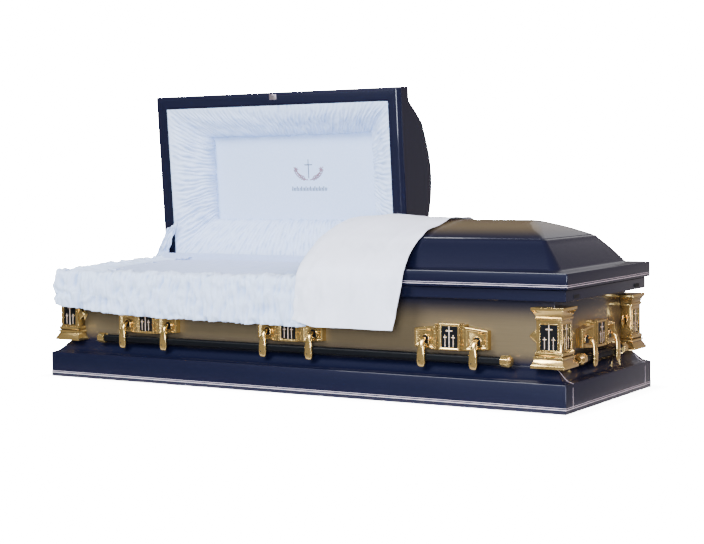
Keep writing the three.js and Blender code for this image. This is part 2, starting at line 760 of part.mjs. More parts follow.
function throwCloth() {
  const crown = crownLine().slice(2).map(({ side, z }) => new THREE.Vector2(side - LID.halfWidth, z));
  const ridge = new THREE.Vector2(0, LID.ridge);
  const overBack = crown
    .slice(-3, -1)
    .reverse()
    .map((p) => new THREE.Vector2(-p.x, p.y));
  const lid = offsetLine([...crown, ridge, ...overBack], THROW.lift);
  const under = [...THROW_HANG.map(([y, z]) => new THREE.Vector2(y, z)), ...lid];
  const over = offsetLine(under, THROW.thick);
  const outline = [...under, ...over.reverse()];
  const ring = (x) => outline.map((p) => point(x, p.x, p.y));
  return skin([ring(THROW.from), ring(THROW.to)]);
}

addPiece('throw', throwCloth(), SATIN);

export default casket;
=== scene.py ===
"""Dresses a half-couch steel casket: lacquered steel, gold hardware and a shirred crepe lining."""

import json
import math

import bmesh
import bpy
import numpy as np
from bpy.props import FloatProperty, FloatVectorProperty, IntProperty, PointerProperty
from mathutils import Matrix, Vector, noise


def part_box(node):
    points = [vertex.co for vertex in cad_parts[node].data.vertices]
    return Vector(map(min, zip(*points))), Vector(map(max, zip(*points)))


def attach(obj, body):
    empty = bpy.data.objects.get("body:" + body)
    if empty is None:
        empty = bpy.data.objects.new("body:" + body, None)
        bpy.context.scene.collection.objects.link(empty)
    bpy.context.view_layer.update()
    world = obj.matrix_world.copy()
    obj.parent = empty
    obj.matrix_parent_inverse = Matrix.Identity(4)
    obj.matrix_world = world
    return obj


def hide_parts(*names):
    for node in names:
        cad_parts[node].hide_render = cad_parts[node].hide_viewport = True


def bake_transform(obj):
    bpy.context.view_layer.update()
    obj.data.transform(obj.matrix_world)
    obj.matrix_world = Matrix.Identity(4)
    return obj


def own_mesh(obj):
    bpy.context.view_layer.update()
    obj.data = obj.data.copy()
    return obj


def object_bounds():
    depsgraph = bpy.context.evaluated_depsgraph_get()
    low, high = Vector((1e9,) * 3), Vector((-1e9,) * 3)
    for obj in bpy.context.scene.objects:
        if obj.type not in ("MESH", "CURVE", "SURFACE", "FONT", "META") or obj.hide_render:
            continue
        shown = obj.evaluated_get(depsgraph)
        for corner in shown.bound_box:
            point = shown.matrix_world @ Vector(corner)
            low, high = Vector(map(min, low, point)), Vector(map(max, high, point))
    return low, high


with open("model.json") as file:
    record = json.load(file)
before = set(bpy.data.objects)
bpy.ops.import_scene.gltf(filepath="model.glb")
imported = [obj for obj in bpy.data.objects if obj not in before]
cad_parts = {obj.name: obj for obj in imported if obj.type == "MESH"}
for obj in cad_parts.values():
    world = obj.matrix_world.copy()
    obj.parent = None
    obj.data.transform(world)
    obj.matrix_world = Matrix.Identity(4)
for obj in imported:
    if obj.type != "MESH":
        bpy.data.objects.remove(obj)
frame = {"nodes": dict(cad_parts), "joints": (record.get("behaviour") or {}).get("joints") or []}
CAD_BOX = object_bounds()

bl_info = {
    "name": "Half-couch casket",
    "version": (1, 0, 0),
    "blender": (4, 5, 0),
    "location": "View3D > Sidebar > Casket",
    "description": "Makes the finish, hardware and lining of a half-couch casket around its frame",
    "category": "Object",
}

MM = 0.001
HINGE = next(j for j in frame["joints"] if j["name"] == "head_lid_hinge")
HINGE_AT = np.array(HINGE["pos_m"])
OPEN = math.radians(HINGE["range_deg"][1])


def to_linear(code):
    """Linear colour of an sRGB hex value."""
    parts = [int(code[i:i + 2], 16) / 255 for i in (0, 2, 4)]
    return [c / 12.92 if c <= 0.04045 else ((c + 0.055) / 1.055) ** 2.4 for c in parts]


# Settings that a user would change

def colour(name, code, description):
    return FloatVectorProperty(name=name, description=description, subtype="COLOR", size=3, min=0, max=1,
                               default=to_linear(code))


def length(name, millimetres, description):
    return FloatProperty(name=name, description=description, default=millimetres * MM, min=0, unit="LENGTH")


class CasketColours(bpy.types.PropertyGroup):
    """Colours of the finishes"""
    navy: colour("Navy", "0b0e22", "Lacquer on the base, rails and lids")
    bronze: colour("Bronze", "61553e", "Brushed middle of the walls and the crowns")
    gold: colour("Gold", "dfc17c", "Plate on the pillars and handles")
    pale: colour("Pale plate", "e6d2c6", "Crosses")
    # On the lap seams the silver stands for a painted highlight on their edges
    silver: colour("Silver", "e4d9e2", "Pinstripes and the lap seams")
    black: colour("Black", "07090d", "Enamel behind the crosses")
    crepe: colour("Crepe", "d4e4fb", "Shirred lining")
    # The colour of the folds is painted shade deep in the gathers
    crepe_fold_shade: colour("Crepe folds", "aac2e6", "Shirred lining, deep in its gathers")
    bed: colour("Bed", "b9ccee", "Smooth cloth of the bed")
    panel: colour("Panel", "cadcf6", "Flat cloth inside the lid")
    satin: colour("Satin", "eef3ff", "Throw")
    mauve: colour("Mauve thread", "8d7080", "Sprigs on the panel")
    slate: colour("Slate thread", "43536f", "Cross and strokes on the panel")


class CasketSizes(bpy.types.PropertyGroup):
    """Sizes of the finer forms"""
    gather: length("Gather width", 10, "From one gather of the crepe to the next")
    gather_depth: length("Gather depth", 5, "How far the gathers stand out")
    stripe: length("Pinstripe", 2.2, "Height of the wider pinstripe")
    stitch: length("Stitch", 3.2, "Length of one embroidery stitch")
    thread: length("Thread", 1.5, "Thickness of the embroidery")
    edge: length("Edge", 0.9, "Rounding of the cast edges")
    leaf_ribs: IntProperty(name="Leaf ribs", description="Ribs along each swing arm", default=5, min=0)


def colours():
    return bpy.context.scene.casket_colours


def sizes():
    return bpy.context.scene.casket_sizes


# Meshes

TIDY_MERGE = 1e-5
CLOSE_MERGE = 1e-6
NODE_MERGE = 2e-5
FLAT_ANGLE = math.radians(1)


def grid_mesh(name, points, loop_rows=False, loop_columns=False):
    """A mesh of quads over points in rows and columns, looped round where asked."""
    rows, columns = points.shape[:2]
    row = np.arange(rows if loop_rows else rows - 1)
    column = np.arange(columns if loop_columns else columns - 1)
    a, b = np.meshgrid(row, column, indexing="ij")
    next_a, next_b = (a + 1) % rows, (b + 1) % columns
    corners = [a * columns + b, a * columns + next_b, next_a * columns + next_b, next_a * columns + b]
    quads = np.stack(corners, -1).reshape(-1, 4)
    mesh = bpy.data.meshes.new(name)
    mesh.from_pydata(points.reshape(-1, 3).tolist(), [], quads.tolist())
    return mesh


def mesh_of(name, shape):
    """Keeps a bmesh as a new mesh."""
    mesh = bpy.data.meshes.new(name)
    shape.to_mesh(mesh)
    shape.free()
    return mesh


def set_values(mesh, name, values, kind="FLOAT"):
    """Stores one value, or one vector, for each point of a mesh."""
    attribute = mesh.attributes.new(name, kind, "POINT")
    field = "vector" if kind == "FLOAT_VECTOR" else "value"
    attribute.data.foreach_set(field, np.asarray(values, np.float32).ravel())


def set_cloth_places(mesh, points):
    """Stores how far along and across the cloth each point is, in metres."""
    def run(axis):
        steps = np.linalg.norm(np.diff(points, axis=axis), axis=2)
        total = np.cumsum(steps.mean(axis=1 - axis))
        return np.concatenate([[0.0], total])
    along, across = np.meshgrid(run(1), run(0))
    places = np.stack([along, across, np.zeros_like(along)], -1)
    set_values(mesh, "cloth_at", places, "FLOAT_VECTOR")


def tidy(mesh, merge=TIDY_MERGE, outward=True):
    """Merges doubled points and, on a closed shape, turns the faces out."""
    shape = bmesh.new()
    shape.from_mesh(mesh)
    bmesh.ops.remove_doubles(shape, verts=shape.verts, dist=merge)
    bmesh.ops.dissolve_degenerate(shape, edges=shape.edges, dist=merge)
    if outward:
        bmesh.ops.recalc_face_normals(shape, faces=shape.faces)
    shape.to_mesh(mesh)
    shape.free()
    return mesh


def closed(mesh):
    """Fills a mesh's open ends and turns its faces out."""
    shape = bmesh.new()
    shape.from_mesh(mesh)
    bmesh.ops.remove_doubles(shape, verts=shape.verts, dist=CLOSE_MERGE)
    bmesh.ops.holes_fill(shape, edges=[e for e in shape.edges if e.is_boundary])
    bmesh.ops.recalc_face_normals(shape, faces=shape.faces)
    shape.to_mesh(mesh)
    shape.free()
    return mesh


def new_object(name, mesh, *finishes):
    """Links a mesh to the scene as a piece with its finishes."""
    piece = bpy.data.objects.new(name, mesh)
    bpy.context.scene.collection.objects.link(piece)
    for finish in finishes:
        mesh.materials.append(FINISHES[finish])
    return piece


def soften(piece, angle=35):
    """Smooth shading, with edges sharper than the angle left sharp."""
    piece.data.shade_smooth()
    piece.data.set_sharp_from_angle(angle=math.radians(angle))


def round_edges(piece, width, segments=2, angle=30):
    """A live bevel on the sharp edges, with smooth shading."""
    piece.data.shade_smooth()
    bevel = piece.modifiers.new("Edges", "BEVEL")
    bevel.width = width
    bevel.segments = segments
    bevel.limit_method = "ANGLE"
    bevel.angle_limit = math.radians(angle)
    bevel.harden_normals = True


def give_thickness(piece, thickness):
    wall = piece.modifiers.new("Cloth", "SOLIDIFY")
    wall.thickness = thickness
    wall.offset = -1


def settle(piece, body, slot, *nodes):
    """Rides a piece on a body and hides the frame nodes that it stands for; its finish slot is not used."""
    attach(piece, body)
    if nodes:
        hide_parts(*nodes)


def node_copy(name, node):
    """A merged copy of a frame node's mesh, with its flat faces whole."""
    shape = bmesh.new()
    shape.from_mesh(frame["nodes"][node].data)
    bmesh.ops.remove_doubles(shape, verts=shape.verts, dist=NODE_MERGE)
    bmesh.ops.dissolve_limit(shape, angle_limit=FLAT_ANGLE, verts=shape.verts, edges=shape.edges)
    return mesh_of(name, shape)


def rounded_copy(name, node, finish, body, slot, edge, segments=2, angle=30):
    """A piece that is a frame node with rounded edges, and stands for it."""
    piece = new_object(name, node_copy(name, node), finish)
    round_edges(piece, edge, segments, angle)
    settle(piece, body, slot, node)


def add_box(shape, low, high):
    """Adds a box between two corners to a bmesh."""
    low, high = Vector(low), Vector(high)
    made = bmesh.ops.create_cube(shape, size=1)["verts"]
    for vert in made:
        vert.co = Vector(((low[i] + high[i]) / 2 + vert.co[i] * abs(high[i] - low[i]) for i in range(3)))
    return made


def curve_through(points, count):
    """Points along a smooth line through the given ones."""
    points = np.asarray(points, float)
    ends = [2 * points[0] - points[1], *points, 2 * points[-1] - points[-2]]
    places = np.linspace(0, len(points) - 1, count)
    line = []
    for place in places:
        i = min(int(place), len(points) - 2)
        t = place - i
        p0, p1, p2, p3 = ends[i:i + 4]
        line.append(0.5 * (2 * p1 + (p2 - p0) * t + (2 * p0 - 5 * p1 + 4 * p2 - p3) * t ** 2
                           + (3 * p1 - p0 - 3 * p2 + p3) * t ** 3))
    return np.array(line)


def ease(low, high, value):
    """From 0 at low to 1 at high, smoothly."""
    t = np.clip((np.asarray(value, float) - low) / (high - low), 0, 1)
    return t * t * (3 - 2 * t)


def open_lid(points):
    """Turns points of the shut head lid to where it stands open."""
    moved = np.array(points, float)
    y, z = moved[..., 1] - HINGE_AT[1], moved[..., 2] - HINGE_AT[2]
    moved[..., 1] = HINGE_AT[1] + y * math.cos(OPEN) + z * math.sin(OPEN)
    moved[..., 2] = HINGE_AT[2] - y * math.sin(OPEN) + z * math.cos(OPEN)
    return moved


def ripple(place, height, scale, seed):
    """A slow random wave of some height along one length."""
    return height * noise.noise(Vector((place * scale, seed * 7.3, seed * 1.7)))


# Node trees

def feed(tree, node, inputs):
    """Sets a node's inputs from values, other nodes' first outputs or their sockets."""
    for key, value in inputs.items():
        source = value.outputs[0] if isinstance(value, bpy.types.Node) else value
        if isinstance(source, bpy.types.NodeSocket):
            tree.links.new(source, node.inputs[key])
        else:
            node.inputs[key].default_value = source


def add(tree, kind, settings, inputs):
    """Adds a node with its settings and its inputs."""
    node = tree.nodes.new(kind)
    for key, value in settings.items():
        setattr(node, key, value)
    feed(tree, node, inputs)
    return node


def new_tree(name, *sockets):
    """A Geometry Nodes tree with its named inputs, and its input node."""
    tree = bpy.data.node_groups.new(name, "GeometryNodeTree")
    tree.interface.new_socket("Geometry", in_out="INPUT", socket_type="NodeSocketGeometry")
    for label, kind in sockets:
        tree.interface.new_socket(label, in_out="INPUT", socket_type=kind)
    tree.interface.new_socket("Geometry", in_out="OUTPUT", socket_type="NodeSocketGeometry")
    return tree, add(tree, "NodeGroupInput", {}, {})


def close_tree(tree, geometry, material):
    """Ends a tree in plain mesh with its material."""
    whole = add(tree, "GeometryNodeRealizeInstances", {}, {"Geometry": geometry})
    painted = add(tree, "GeometryNodeSetMaterial", {}, {"Geometry": whole, "Material": material})
    add(tree, "NodeGroupOutput", {}, {"Geometry": painted})


def spaced_line(tree, given):
    """Points a pitch apart along a mesh's edges, and the line's direction there."""
    line = add(tree, "GeometryNodeMeshToCurve", {}, {"Mesh": given.outputs["Geometry"]})
    spaced = add(tree, "GeometryNodeResampleCurve", {"mode": "LENGTH"},
                 {"Curve": line, "Length": given.outputs["Pitch"]})
    return spaced, add(tree, "GeometryNodeInputTangent", {}, {})


def grow(piece, tree, values):
    """Runs a tree on a piece and keeps the result as its plain mesh."""
    modifier = piece.modifiers.new(tree.name, "NODES")
    modifier.node_group = tree
    for item in tree.interface.items_tree:
        if item.in_out == "INPUT" and item.name in values:
            modifier[item.identifier] = values[item.name]
    evaluated = piece.evaluated_get(bpy.context.evaluated_depsgraph_get())
    mesh = bpy.data.meshes.new_from_object(evaluated)
    mesh.name = piece.name
    piece.modifiers.remove(modifier)
    piece.data = mesh
    return piece


def gathers_tree():
    """Raises wandering gathers that run across a cloth, scaled by its own share of fullness."""
    tree, given = new_tree(
        "Gathers", ("Width", "NodeSocketFloat"), ("Depth", "NodeSocketFloat"),
        ("Stretch", "NodeSocketFloat"), ("Pleats", "NodeSocketFloat"), ("Crumple", "NodeSocketFloat"),
        ("Seed", "NodeSocketFloat"), ("Material", "NodeSocketMaterial"))
    width = given.outputs["Width"]
    place = add(tree, "GeometryNodeInputNamedAttribute", {"data_type": "FLOAT_VECTOR"}, {"Name": "cloth_at"})
    full = add(tree, "GeometryNodeInputNamedAttribute", {"data_type": "FLOAT"}, {"Name": "fullness"})
    parts = add(tree, "ShaderNodeSeparateXYZ", {}, {0: place})
    along = add(tree, "ShaderNodeMath", {"operation": "DIVIDE"}, {0: parts.outputs[0], 1: width})
    longer = add(tree, "ShaderNodeMath", {"operation": "MULTIPLY"}, {0: width, 1: given.outputs["Stretch"]})
    across = add(tree, "ShaderNodeMath", {"operation": "DIVIDE"}, {0: parts.outputs[1], 1: longer})
    at = add(tree, "ShaderNodeCombineXYZ", {}, {0: along, 1: across, 2: given.outputs["Seed"]})
    sway = add(tree, "ShaderNodeTexNoise", {}, {"Vector": at, "Scale": 0.35, "Detail": 1.0})
    shift = add(tree, "ShaderNodeVectorMath", {"operation": "MULTIPLY_ADD"},
                {0: sway.outputs["Color"], 1: (2.2, 0.5, 0.0), 2: at})
    broad = add(tree, "ShaderNodeTexNoise", {},
                {"Vector": shift, "Scale": 0.75, "Detail": 2.0, "Roughness": 0.45})
    swing = add(tree, "ShaderNodeMath", {"operation": "SUBTRACT"}, {0: broad, 1: 0.5})
    crumpled = add(tree, "ShaderNodeMath", {"operation": "MULTIPLY"}, {0: swing, 1: given.outputs["Crumple"]})
    turn = add(tree, "ShaderNodeSeparateXYZ", {}, {0: shift})
    phase = add(tree, "ShaderNodeMath", {"operation": "MULTIPLY"}, {0: turn, 1: math.pi})
    wave = add(tree, "ShaderNodeMath", {"operation": "SINE"}, {0: phase})
    plump = add(tree, "ShaderNodeMath", {"operation": "ABSOLUTE"}, {0: wave})
    even = add(tree, "ShaderNodeMath", {"operation": "SUBTRACT"}, {0: plump, 1: 0.6})
    level = add(tree, "ShaderNodeMath", {"operation": "MULTIPLY_ADD"},
                {0: even, 1: given.outputs["Pleats"], 2: crumpled})
    deep = add(tree, "ShaderNodeMath", {"operation": "MULTIPLY"}, {0: level, 1: given.outputs["Depth"]})
    shared = add(tree, "ShaderNodeMath", {"operation": "MULTIPLY"}, {0: deep, 1: full})
    normal = add(tree, "GeometryNodeInputNormal", {}, {})
    push = add(tree, "ShaderNodeVectorMath", {"operation": "SCALE"}, {0: normal, "Scale": shared})
    moved = add(tree, "GeometryNodeSetPosition", {}, {"Geometry": given.outputs["Geometry"], "Offset": push})
    # The fold's level, stored for the painted shade that the cloth finishes draw deep in their folds
    depth = add(tree, "GeometryNodeStoreNamedAttribute", {"data_type": "FLOAT", "domain": "POINT"},
                {"Geometry": moved, "Name": "fold_shade", "Value": level})
    close_tree(tree, depth, given.outputs["Material"])


def stitches_tree():
    """Lays short plump stitches end to end along the edges of a mesh."""
    tree, given = new_tree(
        "Stitches", ("Pitch", "NodeSocketFloat"), ("Length", "NodeSocketFloat"),
        ("Thread", "NodeSocketFloat"), ("Lean", "NodeSocketFloat"), ("Material", "NodeSocketMaterial"))
    spaced, tangent = spaced_line(tree, given)
    facing = add(tree, "FunctionNodeAlignRotationToVector", {"axis": "X"}, {"Vector": tangent})
    turn = add(tree, "ShaderNodeCombineXYZ", {}, {2: given.outputs["Lean"]})
    leaning = add(tree, "FunctionNodeRotateRotation", {"rotation_space": "LOCAL"}, {0: facing, 1: turn})
    bead = add(tree, "GeometryNodeMeshUVSphere", {}, {"Segments": 6, "Rings": 4, "Radius": 0.5})
    size = add(tree, "ShaderNodeCombineXYZ", {},
               {0: given.outputs["Length"], 1: given.outputs["Thread"], 2: given.outputs["Thread"]})
    copies = add(tree, "GeometryNodeInstanceOnPoints", {},
                 {"Points": spaced, "Instance": bead, "Rotation": leaning, "Scale": size})
    close_tree(tree, copies, given.outputs["Material"])


def barrels_tree():
    """Sets hinge barrels end to end along a line."""
    tree, given = new_tree("Barrels", ("Pitch", "NodeSocketFloat"), ("Length", "NodeSocketFloat"),
                           ("Radius", "NodeSocketFloat"), ("Material", "NodeSocketMaterial"))
    spaced, tangent = spaced_line(tree, given)
    facing = add(tree, "FunctionNodeAlignRotationToVector", {"axis": "Z"}, {"Vector": tangent})
    barrel = add(tree, "GeometryNodeMeshCylinder", {},
                 {"Vertices": 14, "Radius": given.outputs["Radius"], "Depth": given.outputs["Length"]})
    copies = add(tree, "GeometryNodeInstanceOnPoints", {},
                 {"Points": spaced, "Instance": barrel, "Rotation": facing})
    close_tree(tree, copies, given.outputs["Material"])


# Materials

FINISHES = {}
MIX_COLOURS = {"data_type": "RGBA"}


def new_material(name):
    """A finish that starts as a plain shader, kept by its name: its tree and its shader."""
    material = bpy.data.materials.new(name)
    material.use_nodes = True
    tree = material.node_tree
    tree.nodes.clear()
    shader = add(tree, "ShaderNodeBsdfPrincipled", {}, {})
    add(tree, "ShaderNodeOutputMaterial", {}, {"Surface": shader})
    FINISHES[name] = material
    return tree, shader


def shade(tone, by=1.0):
    """A colour for a node's socket, with all its channels, or each, scaled."""
    return (*(float(min(1.0, c * s)) for c, s in zip(tone, np.broadcast_to(by, 3))), 1.0)


def surface_noise(tree, spacing, stretch=(1, 1, 1)):
    """Noise in the piece's own space, its lumps about the given size in metres apart."""
    place = add(tree, "ShaderNodeTexCoord", {}, {})
    scaled = add(tree, "ShaderNodeMapping", {},
                 {"Vector": place.outputs["Object"], "Scale": [1 / (spacing * s) for s in stretch]})
    return add(tree, "ShaderNodeTexNoise", {}, {"Vector": scaled, "Scale": 1.0, "Detail": 2.0})


def lacquered_steel():
    """Two-tone lacquer on sheet steel: brushed bronze shaded out to navy under a deep clear coat."""
    tree, shader = new_material("lacquered_steel")
    bronze, navy = colours().bronze, colours().navy
    share = add(tree, "ShaderNodeAttribute", {"attribute_name": "bronze_share"}, {}).outputs["Fac"]
    streaks = surface_noise(tree, 1.6 * MM, (90, 1, 1))  # brush marks along the casket, about 1.6 mm apart
    cloud = surface_noise(tree, 160 * MM, (2, 1, 1))
    brushed = add(tree, "ShaderNodeMix", MIX_COLOURS, {0: streaks, 6: shade(bronze), 7: shade(bronze, 1.25)})
    deep = add(tree, "ShaderNodeMix", MIX_COLOURS, {0: cloud, 6: shade(navy), 7: shade(navy, 1.25)})
    tone = add(tree, "ShaderNodeMix", MIX_COLOURS, {0: share, 6: deep.outputs[2], 7: brushed.outputs[2]})
    metal = add(tree, "ShaderNodeMath", {"operation": "MULTIPLY_ADD"}, {0: share, 1: 0.15, 2: 0.15})
    rough = add(tree, "ShaderNodeMath", {"operation": "MULTIPLY_ADD"}, {0: streaks, 1: 0.12, 2: 0.32})
    peel = surface_noise(tree, 9 * MM)  # faint orange peel in the coat
    bump = add(tree, "ShaderNodeBump", {}, {"Height": peel, "Strength": 0.04, "Distance": 0.5 * MM})
    feed(tree, shader, {"Base Color": tone.outputs[2], "Metallic": metal, "Roughness": rough,
                        "Coat Normal": bump, "Coat Weight": 0.5, "Coat Roughness": 0.05,
                        "Specular IOR Level": 0.15})


def plated_gold():
    """Polished gold plate on cast metal: bright, with a slight haze, and darkened to brown in its hollows by
    painted shade.
    """
    tree, shader = new_material("plated_gold")
    gold = colours().gold
    cloud = surface_noise(tree, 14 * MM)
    bright = add(tree, "ShaderNodeMix", MIX_COLOURS,
                 {0: cloud, 6: shade(gold), 7: shade(gold, (0.94, 0.86, 0.74))})
    # Painted shade: ambient occlusion mixes in dark brown where the cast metal's hollows and corners fall
    # into shade
    hollow = add(tree, "ShaderNodeAmbientOcclusion", {"samples": 8, "only_local": True},
                 {"Distance": 11 * MM})
    share = add(tree, "ShaderNodeMapRange", {},
                {"Value": hollow.outputs["AO"], "From Min": 0.4, "From Max": 0.95})
    tone = add(tree, "ShaderNodeMix", MIX_COLOURS,
               {0: share, 6: shade(gold, (0.17, 0.12, 0.07)), 7: bright.outputs[2]})
    haze = add(tree, "ShaderNodeMath", {"operation": "MULTIPLY_ADD"}, {0: cloud, 1: 0.14, 2: 0.1})
    cast = surface_noise(tree, 3 * MM)
    bump = add(tree, "ShaderNodeBump", {}, {"Height": cast, "Strength": 0.12, "Distance": 0.4 * MM})
    feed(tree, shader, {"Base Color": tone.outputs[2], "Roughness": haze, "Normal": bump, "Metallic": 0.92})


def plain_finish(name, base, spacing, spread, values):
    """A finish with one colour that varies a little over the given spacing."""
    tree, shader = new_material(name)
    cloud = surface_noise(tree, spacing)
    tone = add(tree, "ShaderNodeMix", MIX_COLOURS, {0: cloud, 6: shade(base, 1 - spread), 7: shade(base)})
    bump = add(tree, "ShaderNodeBump", {}, {"Height": cloud, "Strength": 0.1, "Distance": 0.3 * MM})
    feed(tree, shader, {"Base Color": tone.outputs[2], "Normal": bump, **values})


def woven_cloth(name, base, fold_shade, crinkle, depth, values):
    """Cloth whose folds take a deeper colour as painted shade, with a fine crinkle of the given size in its
    weave whose hollows are drawn darker as painted shade.
    """
    tree, shader = new_material(name)
    place = add(tree, "ShaderNodeAttribute", {"attribute_name": "cloth_at"}, {})
    inside = add(tree, "ShaderNodeAttribute", {"attribute_name": "fold_shade"}, {})
    scaled = add(tree, "ShaderNodeMapping", {},
                 {"Vector": place.outputs["Vector"], "Scale": (1 / crinkle, 0.65 / crinkle, 1)})
    pucker = add(tree, "ShaderNodeTexNoise", {},
                 {"Vector": scaled, "Scale": 1.0, "Detail": 3.0, "Distortion": 0.6})
    # Painted shade: the deeper the fold, the more of the fold colour
    share = add(tree, "ShaderNodeMapRange", {},
                {"Value": inside.outputs["Fac"], "From Min": -0.55, "From Max": -0.05})
    tone = add(tree, "ShaderNodeMix", MIX_COLOURS, {0: share, 6: fold_shade, 7: shade(base)})
    # Painted shade: the crinkle's hollows, low in its bump, are drawn darker
    crinkle_shade = add(tree, "ShaderNodeMix", MIX_COLOURS, {0: pucker, 6: shade(base, 0.93), 7: (1, 1, 1, 1)})
    blended = add(tree, "ShaderNodeMix", {**MIX_COLOURS, "blend_type": "MULTIPLY"},
                  {0: 0.5, 6: tone.outputs[2], 7: crinkle_shade.outputs[2]})
    bump = add(tree, "ShaderNodeBump", {}, {"Height": pucker, "Strength": 0.5, "Distance": depth})
    feed(tree, shader, {"Base Color": blended.outputs[2], "Normal": bump, **values})


def make_finishes():
    tones = colours()
    lacquered_steel()
    plated_gold()
    # Smooth enamel and duller paint, which mirror little, and rubber, which mirrors nothing
    # The black enamel also fills the arm holes in the ears, where it is painted shade
    plain_finish("black_enamel_and_hole_shade", tones.black, 20 * MM, 0.3, {"Roughness": 0.35, "Specular IOR Level": 0.25})
    plain_finish("dark_lacquer", tones.black, 40 * MM, 0.4, {"Roughness": 0.45, "Specular IOR Level": 0.12})
    plain_finish("black_rubber", tones.black, 4 * MM, 0.4, {"Roughness": 0.75})
    # Silver paint, pale plate on the crosses, and bright nickel on steel
    # On the base's lap seams the silver paint is a painted highlight along their edges
    plain_finish("silver_line_and_seam_highlight", tones.silver, 6 * MM, 0.25, {"Roughness": 0.35, "Metallic": 0.3})
    plain_finish("pale_plate", tones.pale, 10 * MM, 0.12, {"Roughness": 0.3, "Metallic": 0.2})
    plain_finish("nickel_plate", tones.silver, 8 * MM, 0.3, {"Roughness": 0.3, "Metallic": 1.0})
    # Embroidery cotton, soft with a little sheen
    plain_finish("mauve_thread", tones.mauve, 2 * MM, 0.3, {"Roughness": 0.6, "Sheen Weight": 0.3})
    plain_finish("slate_thread", tones.slate, 2 * MM, 0.3, {"Roughness": 0.6, "Sheen Weight": 0.3})
    # Dull crinkled crepe, the smoother cloths of the bed and the panel, and satin with its soft shine.
    # Their crinkle is drawn coarser than the real weave, so that it shows in the render.
    # Each cloth's second colour is painted shade deep in its folds
    woven_cloth("shirred_crepe", tones.crepe, shade(tones.crepe_fold_shade), 5 * MM, 1.2 * MM,
                {"Roughness": 0.85, "Sheen Weight": 0.25, "Specular IOR Level": 0.25})
    woven_cloth("bed_cloth", tones.bed, shade(tones.bed, 0.9), 9 * MM, 0.5 * MM,
                {"Roughness": 0.7, "Sheen Weight": 0.3, "Specular IOR Level": 0.3})
    woven_cloth("panel_cloth", tones.panel, shade(tones.panel, 0.95), 7 * MM, 0.3 * MM,
                {"Roughness": 0.75, "Sheen Weight": 0.2, "Specular IOR Level": 0.25})
    woven_cloth("throw_satin", tones.satin, shade(tones.satin, 0.86), 8 * MM, 0.6 * MM,
                {"Roughness": 0.55, "Sheen Weight": 0.35, "Specular IOR Level": 0.4})


# Shells of sheet steel

def ring(half_x, half_y, z, radius, steps=4):
    """A rectangle at one height with rounded corners."""
    points = []
    for quarter, (sx, sy) in enumerate(((1, 1), (-1, 1), (-1, -1), (1, -1))):
        for step in range(steps + 1):
            angle = (quarter + step / steps) * math.pi / 2
            points.append((sx * (half_x - radius) + radius * math.cos(angle),
                           sy * (half_y - radius) + radius * math.sin(angle), z))
    return points


def frame_mesh(name, half_x, half_y, outline, radius=1.5 * MM):
    """A moulding that runs round the casket: its closed outline is inset and height."""
    rings = [ring(half_x - inset, half_y - inset, z, radius) for inset, z in outline]
    return tidy(grid_mesh(name, np.array(rings), loop_rows=True, loop_columns=True))


def plain_bronze(mesh):
    """Marks a whole mesh as navy, with no bronze."""
    set_values(mesh, "bronze_share", np.zeros(len(mesh.vertices)))


def mesh_points(mesh):
    points = np.zeros(len(mesh.vertices) * 3)
    mesh.vertices.foreach_get("co", points)
    return points.reshape(-1, 3)


BASE_FOOT_EDGE = 1.5 * MM
BASE_FACE_TOP = 92 * MM
BASE_EDGE = 2 * MM
BASE_EDGE_CUT = 0.6 * MM
BASE_LEDGE_RISE = 0.8 * MM
BASE_LEDGE = 9 * MM
BASE_LEDGE_TOP = 95 * MM
SHEET = 1.2 * MM
OGEE_STEPS = 18
BASE_STRIPE_Z = 17 * MM
RIM_STRIPE_Z = 396 * MM
SEAM_Y = 305 * MM
SEAM_WIDTH = 2.2 * MM
PROUD = 0.5 * MM
CLEARANCE = 0.3 * MM
STRIPE_APART = 2.8 * MM
FINE_STRIPE = 0.6
SEAM_FROM_EDGE = 4 * MM


def base_profile():
    """Outer half of the base's section, from the foot up."""
    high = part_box("base_moulding")[1]
    wall = high.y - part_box("body_shell")[1].y - CLEARANCE
    t = np.linspace(0, 1, OGEE_STEPS + 1)
    ogee = zip(BASE_LEDGE + (wall - BASE_LEDGE) * t,
               BASE_LEDGE_TOP + (high.z - BASE_LEDGE_TOP) * (1 - np.cos(math.pi * t)) / 2)
    face = [(BASE_FOOT_EDGE, 0), (0, BASE_FOOT_EDGE), (0, BASE_FACE_TOP - BASE_EDGE),
            (BASE_EDGE_CUT, BASE_FACE_TOP - BASE_EDGE_CUT), (BASE_EDGE, BASE_FACE_TOP),
            (BASE_LEDGE - BASE_EDGE, BASE_FACE_TOP + BASE_LEDGE_RISE)]
    return [*face, *ogee]


def stripe_outline(inset, z, height):
    return [(inset + SHEET, z - height / 2), (inset - PROUD, z - height / 2),
            (inset - PROUD, z + height / 2), (inset + SHEET, z + height / 2)]


def stripe_pair(name):
    """The two lines of a pinstripe: name, how far from its middle, and height."""
    wide = sizes().stripe
    return ((f"{name}_stripe", -STRIPE_APART, wide),
            (f"{name}_fine_stripe", STRIPE_APART, wide * FINE_STRIPE))


def make_base():
    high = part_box("base_moulding")[1]
    profile = base_profile()
    wall = profile[-1][0]
    outline = [*profile, (wall, high.z - SHEET), (wall, 0)]
    mesh = frame_mesh("base", high.x, high.y, outline)
    plain_bronze(mesh)
    base = new_object("base", mesh, "lacquered_steel")
    soften(base, angle=40)
    settle(base, "casket", "navy_paint", "base_moulding")
    for name, rise, height in stripe_pair("base"):
        outline = stripe_outline(0, BASE_STRIPE_Z + rise, height)
        stripe = new_object(name, frame_mesh(name, high.x, high.y, outline), "silver_line_and_seam_highlight")
        settle(stripe, "casket", "steel")
    make_seams(high.x, profile)


